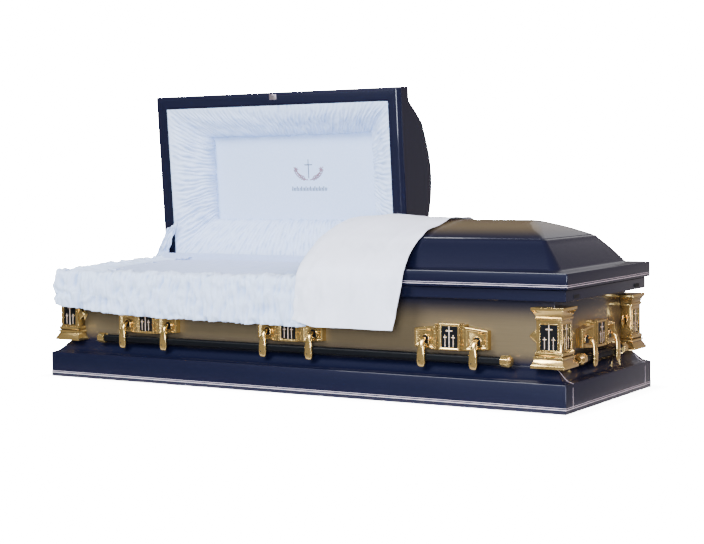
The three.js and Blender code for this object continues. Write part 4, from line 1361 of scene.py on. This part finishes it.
def make_bed():
    low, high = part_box("mattress")
    points = bed_points(low, high)
    mesh = grid_mesh("bed", points, loop_columns=True)
    flat = points.reshape(-1, 3)
    way = CREPE_LINE[1] - CREPE_LINE[0]
    way /= np.linalg.norm(way)
    square = np.array([way[1], -way[0]])
    share = ease(0, CREPE_SOFT, (flat[:, :2] - CREPE_LINE[0]) @ square) * (flat[:, 2] > low.z + CREPE_FROM)
    set_values(mesh, "fullness", PLAIN_FULLNESS + (1 - PLAIN_FULLNESS) * share)
    places = np.stack([flat[:, :2] @ square, flat[:, :2] @ way, flat[:, 2]], -1)
    set_values(mesh, "cloth_at", places, "FLOAT_VECTOR")
    bed = new_object("bed", closed(mesh))
    gathered(bed, "bed_cloth", BED_GATHERS, 4)
    bed.data.shade_smooth()
    settle(bed, "casket", "crepe", "mattress")
    rounded_copy("bed_rails", "bed_frame", "nickel_plate", "casket", "steel", BED_FRAME_EDGE)


# Apron, in mm: heights of its hem and crest along the front and the head end, and how far in it reaches
APRON_HEM = [(-1043, 270), (-746, 248), (-536, 239), (-355, 238), (-96, 234), (151, 231)]
APRON_CREST = [(-1043, 398), (-600, 400), (0, 403), (151, 403)]
APRON_END_CREST = [(-333, 398), (-245, 401), (0, 409), (301, 418)]
APRON_END_HEM = 268
APRON_CORNER = 30 * MM
APRON_FROM = 100 * MM
APRON_TO = 325 * MM
APRON_STEP = 3.2 * MM
APRON_ROWS = 64
APRON_FRONT_REACH = 75
APRON_END_REACH = 170
APRON_LAP = 2.2
APRON_CORNER_REACH = 30
APRON_CORNER_TURN = 0.04
APRON_HANG = 25 * MM
APRON_CORNER_TUCK = 8 * MM
APRON_CORNER_LEAST = 1 * MM
# How far out it hangs in front, in mm, and how much less at the end
APRON_OUT = (36, 11)
# Slow waves of its crest, its hem and its puff: height in mm, waves in a metre, seed
CREST_WAVE = (3, 6, 1)
HEM_WAVES = ((4, 9, 2), (3, 45, 8))
PUFF_WAVE = (3, 7, 3)


def lookup(table, place):
    """A table's value between its places."""
    return float(np.interp(place, [p for p, _ in table], [v for _, v in table]))


def apron_path():
    """Stations along the front, round the corner and along the head: place, way out, heights, reach."""
    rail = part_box("top_rail")[1]
    corner_x, corner_y = -rail.x + APRON_CORNER, -rail.y + APRON_CORNER
    near = APRON_CORNER_REACH
    stations = []
    for x in np.arange(APRON_FROM, corner_x, -APRON_STEP):
        heights = (lookup(table, x / MM) for table in (APRON_CREST, APRON_HEM))
        stations.append((x, corner_y, -math.pi / 2, *heights,
                         min(APRON_FRONT_REACH, near + (x - corner_x) / MM)))
    for angle in np.arange(-math.pi / 2, -math.pi, -APRON_CORNER_TURN):
        stations.append((corner_x, corner_y, angle, APRON_CREST[0][1], APRON_HEM[0][1], near))
    for y in np.arange(corner_y, APRON_TO, APRON_STEP):
        stations.append((corner_x, y, -math.pi, lookup(APRON_END_CREST, y / MM), APRON_END_HEM,
                         min(APRON_END_REACH, near + APRON_LAP * (y - corner_y) / MM)))
    return stations


def apron_section(x, y, crest, hem, inner, side, puff):
    """The apron's section from the bed over the rail to its hem, in mm out from the rail and up."""
    return [(-inner, bed_top(x, y) / MM + 3), (-0.7 * inner - 12, crest - 13), (-30, crest - 4), (-12, crest),
            (8, crest), (side - 14, crest - 9), (side - 6 + puff, crest - 32), (side - 3 + puff, crest - 70),
            (side - 1, (crest + hem) / 2 - 20), (side - puff, hem + 24), (side - 2, hem)]


def make_apron():
    columns = []
    run = 0.0
    before = None
    for x, y, angle, crest, hem, inner in apron_path():
        out = np.array([math.cos(angle), math.sin(angle)])
        here = np.array([x, y]) + out * (APRON_CORNER + APRON_HANG)
        run += 0 if before is None else float(np.linalg.norm(here - before))
        before = here
        crest += ripple(run, *CREST_WAVE)
        hem += sum(ripple(run, *wave) for wave in HEM_WAVES)
        puff = ripple(run, *PUFF_WAVE)
        side = APRON_OUT[0] - APRON_OUT[1] * (-angle / math.pi * 2 - 1)
        turning = math.sin(2 * (angle + math.pi / 2)) if -math.pi < angle < -math.pi / 2 else 0
        line = curve_through(apron_section(x, y, crest, hem, inner, side, puff), APRON_ROWS) * MM
        reach = APRON_CORNER + line[:, 0] - APRON_CORNER_TUCK * abs(turning)
        reach = reach if inner > APRON_CORNER_REACH else np.maximum(reach, APRON_CORNER_LEAST)
        columns.append(np.stack([x + reach * out[0], y + reach * out[1], line[:, 1]], -1))
    points = np.array(columns).transpose(1, 0, 2)
    cloth = cloth_piece("apron_cloth", points, "shirred_crepe", APRON_GATHERS, 1)
    settle(cloth, "casket", "crepe", "apron")
    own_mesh(cloth)


# The back lining's section, in mm across and up, from the bed to the rail
BACK_SECTION = [(230, 400), (258, 406), (284, 415), (304, 426), (320, 431), (330, 424), (334, 405),
                (335, 386)]
BACK_ROWS = 22
BACK_FROM = -1040 * MM
BACK_TO = 70 * MM
BACK_WAVE = (3, 6, 5)


def make_back_lining():
    """A shirred strip along the hinge side, from the bed up to the rail."""
    line = curve_through(BACK_SECTION, BACK_ROWS) * MM
    columns = []
    for x in np.arange(BACK_FROM, BACK_TO, APRON_STEP):
        rise = ripple(x, *BACK_WAVE)
        columns.append(np.stack([np.full(BACK_ROWS, x), line[:, 0], line[:, 1] + rise * MM], -1))
    points = np.array(columns).transpose(1, 0, 2)
    cloth = cloth_piece("back_lining", points, "bed_cloth", BACK_GATHERS, 2)
    settle(cloth, "casket", "crepe")
    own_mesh(cloth)


# Gusset: its middle line along X and Z, and half its width there, in mm
GUSSET_LINE = [(-1076, 396, 50), (-1064, 425, 45), (-1043, 462, 39), (-1020, 503, 33), (-996, 545, 27)]
GUSSET_Y = 0.322
GUSSET_PLEATS = 4.5
GUSSET_PLEAT_DEPTH = 5
GUSSET_SLANT = 0.02
# How far its edges lie apart, and how much higher one is than the other, in shares of its width
GUSSET_SPREAD = 0.9
GUSSET_RISE = 0.42
GUSSET_DEPTH_WAVE = (3, 14, 6)
GUSSET_RISE_WAVE = (4, 5, 7)
GUSSET_ROWS = 60
GUSSET_COLUMNS = 46


def make_gusset():
    columns = []
    for x, z, half in curve_through(GUSSET_LINE, GUSSET_ROWS):
        column = []
        for across in np.linspace(-1, 1, GUSSET_COLUMNS):
            depth = GUSSET_PLEAT_DEPTH + ripple(z * MM, *GUSSET_DEPTH_WAVE)
            pleat = depth * math.sin(across * math.pi * GUSSET_PLEATS + GUSSET_SLANT * z)
            rise = across * half * GUSSET_RISE + ripple(z * MM + across, *GUSSET_RISE_WAVE)
            column.append(((x + across * half * GUSSET_SPREAD) * MM, GUSSET_Y + pleat * MM, (z + rise) * MM))
        columns.append(column)
    cloth = cloth_piece("gusset_cloth", np.array(columns), "shirred_crepe", GUSSET_GATHERS, 3)
    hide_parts("gusset")
    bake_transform(cloth)


# Lining of the open lid, measured shut, in metres
PANEL_X = (-0.858, -0.080)
PANEL_Y = (-0.184, 0.166)
PANEL_DEPTH = 0.112
ROLL_STEP = 2.8 * MM
ROLL_ROWS = 34
ROLL_BULGE = 12 * MM
SPLIT_LAP = 17 * MM
ROLL_SEED = 10
ROLL_THICK = 2 * MM
ROLL_SEAM = 0.4 * MM
ROLL_FRONT = 2 * MM
# Shares of a strip's length and width over which its gathers come in
ROLL_END_FADE = (-0.01, 0.02)
ROLL_RIM_FADE = (0, 0.3)
# The lip inside the roll: how far it stands in as a share of the roll's width, and where it starts
ROLL_LIP = (0.1, 0.6)


def roll_strip(start, end, inner_start, inner_end):
    """One side of the puffed border, between its mitred corners: points across and along."""
    start, end, inner_start, inner_end = np.array((start, end, inner_start, inner_end))
    count = int(np.linalg.norm(end - start) / ROLL_STEP)
    front = RIM_BOTTOM + SHEET + ROLL_FRONT
    lip_in, lip_from = ROLL_LIP
    rows = []
    for angle in np.linspace(0, math.pi / 2, ROLL_ROWS):
        even = angle / (math.pi / 2)
        lip = lip_in * math.sin(math.pi * min(1.0, max(0.0, (even - lip_from) / (1 - lip_from))))
        t = (even + math.sin(angle)) / 2 + lip
        z = front + PANEL_DEPTH * (even + 1 - math.cos(angle)) / 2 - ROLL_BULGE * math.sin(2 * angle)
        first = start + (inner_start - start) * t
        last = end + (inner_end - end) * t
        rows.append([(*(first + (last - first) * u), z) for u in np.linspace(0, 1, count)])
    return np.array(rows)


def make_lid_roll():
    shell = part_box("head_lid_shell")
    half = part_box("foot_lid_shell")[1].y - FLANGE
    head = shell[0].x + FLANGE
    lap = shell[1].x - SPLIT_FLANGE + SPLIT_LAP
    corners = [(head, -half), (lap, -half), (lap, half), (head, half)]
    inner = [(PANEL_X[i], PANEL_Y[j]) for i, j in ((0, 0), (1, 0), (1, 1), (0, 1))]
    strips = []
    for i in range(4):
        points = roll_strip(corners[i], corners[(i + 1) % 4], inner[i], inner[(i + 1) % 4])
        mesh = grid_mesh("strip", open_lid(points))
        set_cloth_places(mesh, points)
        along = np.linspace(0, 1, points.shape[1])
        across = np.linspace(0, 1, ROLL_ROWS)
        ends = ease(*ROLL_END_FADE, np.minimum(along, 1 - along))
        set_values(mesh, "fullness", ends[None, :] * ease(*ROLL_RIM_FADE, across)[:, None])
        strips.append(gathered(new_object("strip", mesh), "shirred_crepe", ROLL_GATHERS, ROLL_SEED + i))
    roll = strips[0]
    with bpy.context.temp_override(active_object=roll, selected_editable_objects=strips):
        bpy.ops.object.join()
    roll.name = "lid_roll"
    tidy(roll.data, ROLL_SEAM, False)
    roll.data.shade_smooth()
    give_thickness(roll, ROLL_THICK)
    settle(roll, "head_lid", "crepe", "lid_lining_roll")
    anchor = open_lid(np.array([-0.48, 0, RIM_BOTTOM + PANEL_DEPTH]))
    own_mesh(roll)


PANEL_TUCK = 8 * MM
PANEL_STEPS = (90, 44)
PANEL_PROUD = 1 * MM


def make_lid_panel():
    z = RIM_BOTTOM + PANEL_DEPTH - PANEL_PROUD
    x, y = np.meshgrid(*(np.linspace(low - PANEL_TUCK, high + PANEL_TUCK, steps)
                         for (low, high), steps in zip((PANEL_X, PANEL_Y), PANEL_STEPS)))
    points = np.stack([x, y, np.full_like(x, z)], -1)
    panel = cloth_piece("panel_cloth", open_lid(points), "panel_cloth", PANEL_GATHERS, 20, flat=points)
    settle(panel, "head_lid", "crepe", "lid_lining_panel")
    make_embroidery(z)


# Embroidery, in mm from its middle: the cross' half height, half arm and the arm's rise
MOTIF = (-400, -42)
STITCHED_CROSS = (36, 17, 16)
# A sprig: how far it curves out and up, where its stem starts, and its stem's turn
SPRIG_CURVE = (62, 60)
SPRIG_FOOT = 44
SPRIG_TURN = (0.1, 1.25)
SPRIG_STEPS = 14
# Points of a leaf: along the sprig, to its side and up
SPRIG_LEAF = ((7, 8, 4), (12, 6, 8))
BLOSSOM = 9
BLOSSOM_RAYS = 7
# The row of strokes: how many, how far apart, where it starts and lies, its strokes' heights and their slant
STROKES = 24
STROKE_PITCH = 7
STROKES_FROM = (-80, 86)
STROKE_TALL = (15, 10, 10)
STROKE_SLANT = 1.5
STITCH_RISE = 1.2 * MM
# Stitches: pitch and length in shares of a stitch, thickness in shares of a thread, and their lean
STITCH_PITCH = 0.7
STITCH_LENGTH = 1.3
THREAD_FULLNESS = 2.8
STITCH_LEAN = 0.35


def cross_lines():
    """The stitched cross and the row of strokes below it."""
    tall, arm, rise = STITCHED_CROSS
    start, row = STROKES_FROM
    lines = [[(0, -tall), (0, tall)], [(-arm, -rise), (arm, -rise)]]
    for i in range(STROKES):
        x = start + i * STROKE_PITCH
        lines.append([(x, row), (x + STROKE_SLANT, row - STROKE_TALL[i % len(STROKE_TALL)])])
    return lines


def sprig_lines():
    """Two curved stems with leaves in pairs and a small blossom at each end."""
    lines = []
    for sign in (-1, 1):
        stem = [(sign * SPRIG_CURVE[0] * math.sin(t), SPRIG_FOOT - SPRIG_CURVE[1] * (1 - math.cos(t)))
                for t in np.linspace(*SPRIG_TURN, SPRIG_STEPS)]
        lines.append(stem)
        for x, y in stem[2:-1:2]:
            for lean in (-1, 1):
                leaf = [(x + sign * a, y + lean * b - c) for a, b, c in SPRIG_LEAF]
                lines.append([(x, y), *leaf])
        x, y = stem[-1]
        for angle in np.linspace(0, 2 * math.pi, BLOSSOM_RAYS, endpoint=False):
            lines.append([(x, y), (x + BLOSSOM * math.cos(angle), y + BLOSSOM * math.sin(angle))])
    return lines


def make_embroidery(z):
    """A plain cross between two curved sprigs, and a row of strokes below."""
    for name, lines, finish in (("cross_stitching", cross_lines(), "slate_thread"),
                                ("sprig_stitching", sprig_lines(), "mauve_thread")):
        points = []
        edges = []
        for line in lines:
            first = len(points)
            points += [((MOTIF[0] + x) * MM, (MOTIF[1] + y) * MM, z - STITCH_RISE) for x, y in line]
            edges += [(first + k, first + k + 1) for k in range(len(line) - 1)]
        mesh = bpy.data.meshes.new(name)
        mesh.from_pydata(open_lid(np.array(points)).tolist(), edges, [])
        work = new_object(name, mesh)
        grow(work, bpy.data.node_groups["Stitches"],
             {"Pitch": sizes().stitch * STITCH_PITCH, "Length": sizes().stitch * STITCH_LENGTH,
              "Thread": sizes().thread * THREAD_FULLNESS, "Lean": STITCH_LEAN, "Material": FINISHES[finish]})
        work.data.shade_smooth()
        settle(work, "head_lid", "crepe")


# Throw: its line over the shut foot lid, across and up, and its two edges along that line, in mm
THROW_LINE = [(150, 568), (80, 588), (0, 594), (-80, 585), (-150, 565), (-207, 541), (-250, 515), (-295, 485),
              (-330, 459), (-354, 434), (-366, 408), (-373, 375), (-380, 320), (-387, 262), (-390, 238)]
THROW_RIGHT = [500, 508, 510, 496, 482, 470, 466, 472, 480, 485, 484, 480, 470, 460, 456]
THROW_LEFT = [70, 68, 66, 64, 62, 60, 60, 62, 64, 66, 66, 64, 60, 55, 52]
THROW_ROWS = 190
THROW_COLUMNS = 130
# Heights between which it comes to hang, how far from the split it starts to fall, and how slowly, in mm
THROW_HANG = (430, 380)
THROW_FALL_FROM = 4
THROW_FALL = 150
# Its hump over the crown, its sway where it hangs, and its lifted hem corner, with where each comes in, in mm
THROW_HUMP = 9
THROW_HUMP_AT = (240, 90)
THROW_HUMP_IN = (545, 580)
THROW_SWAY = 4
THROW_SWAY_RUN = (34, 90)
THROW_SWAY_IN = (400, 260)
THROW_LIFT = 19.8
THROW_LIFT_IN = ((160, 40), (300, 240))
# Its fullness everywhere, more where it hangs loose, and more along its right edge
THROW_FULLNESS = (0.25, 0.75, 0.5)
THROW_LOOSE_IN = (230, 70)
THROW_EDGE_IN = (0.85, 1)


def throw_point(x, y, z, hang, split):
    """A point of the throw, moved by its hump, its fall past the split, its sway and its lifted corner."""
    middle, spread = THROW_HUMP_AT
    run_x, run_z = THROW_SWAY_RUN
    lift_x, lift_z = THROW_LIFT_IN
    fall = max(0.0, split + THROW_FALL_FROM - x) ** 2 / THROW_FALL
    hump = THROW_HUMP * float(ease(*THROW_HUMP_IN, z)) * math.exp(-((x - middle) / spread) ** 2)
    sway = THROW_SWAY * hang * math.sin(x / run_x + z / run_z) * float(ease(*THROW_SWAY_IN, z))
    lift = THROW_LIFT * hang * float(ease(*lift_x, x)) * float(ease(*lift_z, z))
    return x, y - sway + fall * hang / 2, z + hump - fall * (1 - hang) + lift


def make_throw():
    line = curve_through(THROW_LINE, THROW_ROWS)
    left, right = (curve_through([(v, 0) for v in edge], THROW_ROWS)[:, 0]
                   for edge in (THROW_LEFT, THROW_RIGHT))
    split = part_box("foot_lid_shell")[0].x / MM
    plain, loose, edge = THROW_FULLNESS
    rows = []
    full = []
    for i, (y, z) in enumerate(line):
        hang = float(ease(*THROW_HANG, z)) if y < 0 else 0.0
        along = np.linspace(0, 1, THROW_COLUMNS)
        places = left[i] + (right[i] - left[i]) * along
        rows.append([throw_point(x, y, z, hang, split) for x in places])
        full.append(plain + loose * hang * ease(*THROW_LOOSE_IN, places) + edge * ease(*THROW_EDGE_IN, along))
    cloth = cloth_piece("throw_cloth", np.array(rows) * MM, "throw_satin", THROW_GATHERS, 7, np.array(full))
    settle(cloth, "foot_lid", "satin", "throw")
    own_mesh(cloth)


# Stage

CAMERA_AT = Vector((2.9997, -4.7365, 0.7549))
CAMERA_YAW = 0.55485
CAMERA_PITCH = 0.0642
CAMERA_ROLL = -0.01254
CAMERA_LENS = 79.63
FLOOR = 2.4


def make_camera():
    camera = bpy.data.cameras.new("camera")
    camera.lens = CAMERA_LENS
    camera.sensor_width = 36
    camera.clip_end = 100
    level = math.cos(CAMERA_PITCH)
    forward = Vector((-math.sin(CAMERA_YAW) * level, math.cos(CAMERA_YAW) * level, -math.sin(CAMERA_PITCH)))
    right = Vector((math.cos(CAMERA_YAW), math.sin(CAMERA_YAW), 0))
    up = right.cross(forward)
    turned_right = math.cos(CAMERA_ROLL) * right + math.sin(CAMERA_ROLL) * up
    turned_up = -math.sin(CAMERA_ROLL) * right + math.cos(CAMERA_ROLL) * up
    place = Matrix((turned_right, turned_up, -forward)).transposed().to_4x4()
    place.translation = CAMERA_AT
    piece = bpy.data.objects.new("camera", camera)
    piece.matrix_world = place
    bpy.context.scene.collection.objects.link(piece)
    bpy.context.scene.camera = piece


# Each light: its place, what it faces, its size, its power and its colour
LIGHTS = [("front", (-1.9, -5.2, 4.6), (-0.2, 0, 0.4), 3.0, 900, "f6f9ff"),
          ("low", (2.5, -5.5, 1.2), (-0.3, 0, 0.3), 2.0, 600, "e9f0ff"),
          ("over", (0.4, -2.9, 4.4), (0, 0, 0.4), 2.4, 30, "ffffff"),
          ("right", (4.9, -0.6, 3.6), (0.6, 0, 0.3), 1.8, 210, "ffe2e2"),
          ("back", (-0.4, 5.6, 3.2), (0.4, 0, 0.5), 2.4, 15, "ffffff")]
# Soft light round the casket: height on a ball from 0 below to 1 above, and brightness
SKY = [(0.0, 0.25), (0.42, 0.26), (0.5, 0.22), (0.56, 0.12), (0.68, 0.12), (0.8, 0.19), (1.0, 0.24)]
SKY_TINT = (1.0, 0.91, 0.86)
# A soft glow low behind the foot end, which the end faces mirror: its way, how wide, its tint and brightness
GLOW_WAY = (0.3, 0.93, 0.2)
GLOW_SPREAD = (0.75, 0.93)
GLOW_TINT = (0.97, 0.86, 1.0, 1)
GLOW = 0.24
BACKDROP = 60.0


def make_world():
    """Soft light that is brighter overhead, with a white backdrop behind the casket."""
    world = bpy.data.worlds.new("studio")
    world.use_nodes = True
    bpy.context.scene.world = world
    tree = world.node_tree
    tree.nodes.clear()
    place = add(tree, "ShaderNodeTexCoord", {}, {})
    height = add(tree, "ShaderNodeSeparateXYZ", {}, {0: place.outputs["Generated"]})
    share = add(tree, "ShaderNodeMath", {"operation": "MULTIPLY_ADD"}, {0: height.outputs[2], 1: 0.5, 2: 0.5})
    ramp = add(tree, "ShaderNodeValToRGB", {}, {0: share})
    stops = ramp.color_ramp.elements
    while len(stops) < len(SKY):
        stops.new(1.0)
    for stop, (where, level) in zip(stops, SKY):
        stop.position = where
        stop.color = (*(level * c for c in SKY_TINT), 1)
    ray = add(tree, "ShaderNodeLightPath", {}, {})
    facing = add(tree, "ShaderNodeVectorMath", {"operation": "DOT_PRODUCT"},
                 {0: place.outputs["Generated"], 1: Vector(GLOW_WAY).normalized()})
    near = add(tree, "ShaderNodeMapRange", {"interpolation_type": "SMOOTHSTEP"},
               {"Value": facing.outputs["Value"], "From Min": GLOW_SPREAD[0], "From Max": GLOW_SPREAD[1],
                "To Min": 0.0, "To Max": GLOW})
    glow = add(tree, "ShaderNodeBackground", {}, {"Color": GLOW_TINT, "Strength": near})
    dim = add(tree, "ShaderNodeBackground", {}, {"Color": ramp})
    soft = add(tree, "ShaderNodeAddShader", {}, {0: dim, 1: glow})
    white = add(tree, "ShaderNodeBackground", {}, {"Strength": BACKDROP})
    sky = add(tree, "ShaderNodeMixShader", {}, {0: ray.outputs["Is Camera Ray"], 1: soft, 2: white})
    add(tree, "ShaderNodeOutputWorld", {}, {"Surface": sky})


FLOOR_FADE = 0.3
FLOOR_HALF_WIDTH = 0.36
FLOOR_ALPHA = 0.75


def pale_floor():
    """A plain pale floor that fades into the backdrop a short way from the casket."""
    tree, shader = new_material("pale_floor")
    place = add(tree, "ShaderNodeTexCoord", {}, {})
    side = add(tree, "ShaderNodeVectorMath", {"operation": "ABSOLUTE"}, {0: place.outputs["Object"]})
    past = add(tree, "ShaderNodeVectorMath", {"operation": "SUBTRACT"},
               {0: side, 1: (CAD_BOX[1][0], FLOOR_HALF_WIDTH, 0)})
    outside = add(tree, "ShaderNodeVectorMath", {"operation": "MAXIMUM"}, {0: past, 1: (0, 0, 0)})
    far = add(tree, "ShaderNodeVectorMath", {"operation": "LENGTH"}, {0: outside})
    fade = add(tree, "ShaderNodeMapRange", {"interpolation_type": "SMOOTHSTEP"},
               {"Value": far.outputs["Value"], "From Min": 0.0, "From Max": FLOOR_FADE,
                "To Min": FLOOR_ALPHA, "To Max": 0.0})
    feed(tree, shader, {"Base Color": (0.92, 0.92, 0.92, 1), "Roughness": 0.9, "Alpha": fade})


def make_stage():
    mesh = bpy.data.meshes.new("floor")
    corners = [(x * FLOOR, y * FLOOR, 0) for x, y in ((-1, -1), (1, -1), (1, 1), (-1, 1))]
    mesh.from_pydata(corners, [], [(0, 1, 2, 3)])
    pale_floor()
    new_object("floor", mesh, "pale_floor")
    for name, place, target, size, power, tint in LIGHTS:
        light = bpy.data.lights.new(name, "AREA")
        light.size = size
        light.energy = power
        light.color = to_linear(tint)
        lamp = bpy.data.objects.new(name, light)
        lamp.location = place
        lamp.rotation_euler = (Vector(target) - Vector(place)).to_track_quat("-Z", "Y").to_euler()
        bpy.context.scene.collection.objects.link(lamp)
    make_world()
    make_camera()


# Operators, panel and registration

class CASKET_OT_stage(bpy.types.Operator):
    """Floor, soft lights and the camera"""
    bl_idname = "casket.stage"
    bl_label = "Stage"

    def execute(self, context):
        make_finishes()
        make_stage()
        return {"FINISHED"}


class CASKET_OT_node_trees(bpy.types.Operator):
    """Trees for gathers, stitches and barrels"""
    bl_idname = "casket.node_trees"
    bl_label = "Node trees"

    def execute(self, context):
        gathers_tree()
        stitches_tree()
        barrels_tree()
        return {"FINISHED"}


class CASKET_OT_base(bpy.types.Operator):
    """Moulded base with its pinstripes and seams"""
    bl_idname = "casket.base"
    bl_label = "Base"

    def execute(self, context):
        make_base()
        return {"FINISHED"}


class CASKET_OT_body(bpy.types.Operator):
    """Walls, rail and plugs"""
    bl_idname = "casket.body"
    bl_label = "Body"

    def execute(self, context):
        make_body()
        make_rail()
        return {"FINISHED"}


class CASKET_OT_lids(bpy.types.Operator):
    """Both lid crowns with their pinstripes"""
    bl_idname = "casket.lids"
    bl_label = "Lids"

    def execute(self, context):
        make_lids()
        return {"FINISHED"}


class CASKET_OT_hinges(bpy.types.Operator):
    """Hinge leaves and the catch"""
    bl_idname = "casket.hinges"
    bl_label = "Hinges"

    def execute(self, context):
        make_hinges()
        return {"FINISHED"}


class CASKET_OT_pillars(bpy.types.Operator):
    """Gold corner pillars with crosses"""
    bl_idname = "casket.pillars"
    bl_label = "Pillars"

    def execute(self, context):
        make_pillars()
        return {"FINISHED"}


class CASKET_OT_ears(bpy.types.Operator):
    """Gold handle plates with crosses"""
    bl_idname = "casket.ears"
    bl_label = "Ears"

    def execute(self, context):
        make_ears()
        return {"FINISHED"}


class CASKET_OT_arms(bpy.types.Operator):
    """Leaf-shaped swing arms"""
    bl_idname = "casket.arms"
    bl_label = "Arms"

    def execute(self, context):
        make_arms()
        return {"FINISHED"}


class CASKET_OT_bars(bpy.types.Operator):
    """Dark bars and their gold tips"""
    bl_idname = "casket.bars"
    bl_label = "Bars"

    def execute(self, context):
        make_bars()
        return {"FINISHED"}


class CASKET_OT_bed(bpy.types.Operator):
    """Padded bed and its frame"""
    bl_idname = "casket.bed"
    bl_label = "Bed"

    def execute(self, context):
        make_bed()
        return {"FINISHED"}


class CASKET_OT_apron(bpy.types.Operator):
    """Shirred apron and the lining along the back"""
    bl_idname = "casket.apron"
    bl_label = "Apron"

    def execute(self, context):
        make_apron()
        make_back_lining()
        return {"FINISHED"}


class CASKET_OT_gusset(bpy.types.Operator):
    """Gathered tail at the lid's corner"""
    bl_idname = "casket.gusset"
    bl_label = "Gusset"

    def execute(self, context):
        make_gusset()
        return {"FINISHED"}


class CASKET_OT_lid_lining(bpy.types.Operator):
    """Puffed border and embroidered panel"""
    bl_idname = "casket.lid_lining"
    bl_label = "Lid lining"

    def execute(self, context):
        make_lid_roll()
        make_lid_panel()
        return {"FINISHED"}


class CASKET_OT_throw(bpy.types.Operator):
    """Smooth cloth over the foot lid"""
    bl_idname = "casket.throw"
    bl_label = "Throw"

    def execute(self, context):
        make_throw()
        return {"FINISHED"}


OPERATORS = [
    CASKET_OT_stage, CASKET_OT_node_trees, CASKET_OT_base, CASKET_OT_body, CASKET_OT_lids, CASKET_OT_hinges,
    CASKET_OT_pillars, CASKET_OT_ears, CASKET_OT_arms, CASKET_OT_bars, CASKET_OT_bed, CASKET_OT_apron,
    CASKET_OT_gusset, CASKET_OT_lid_lining, CASKET_OT_throw,
]


class CASKET_PT_panel(bpy.types.Panel):
    """Lists the casket's settings and pieces"""
    bl_label = "Casket"
    bl_idname = "CASKET_PT_panel"
    bl_space_type = "VIEW_3D"
    bl_region_type = "UI"
    bl_category = "Casket"

    def draw(self, context):
        for group in (context.scene.casket_sizes, context.scene.casket_colours):
            for key in group.__annotations__:
                self.layout.prop(group, key)
        for made in OPERATORS:
            self.layout.operator(made.bl_idname)


CLASSES = [CasketColours, CasketSizes, *OPERATORS, CASKET_PT_panel]


def register():
    for made in CLASSES:
        bpy.utils.register_class(made)
    bpy.types.Scene.casket_colours = PointerProperty(type=CasketColours)
    bpy.types.Scene.casket_sizes = PointerProperty(type=CasketSizes)


def unregister():
    del bpy.types.Scene.casket_sizes
    del bpy.types.Scene.casket_colours
    for made in reversed(CLASSES):
        bpy.utils.unregister_class(made)


def main():
    register()
    for made in OPERATORS:
        getattr(bpy.ops.casket, made.bl_idname.split(".")[1])()


if __name__ == "__main__":
    main()
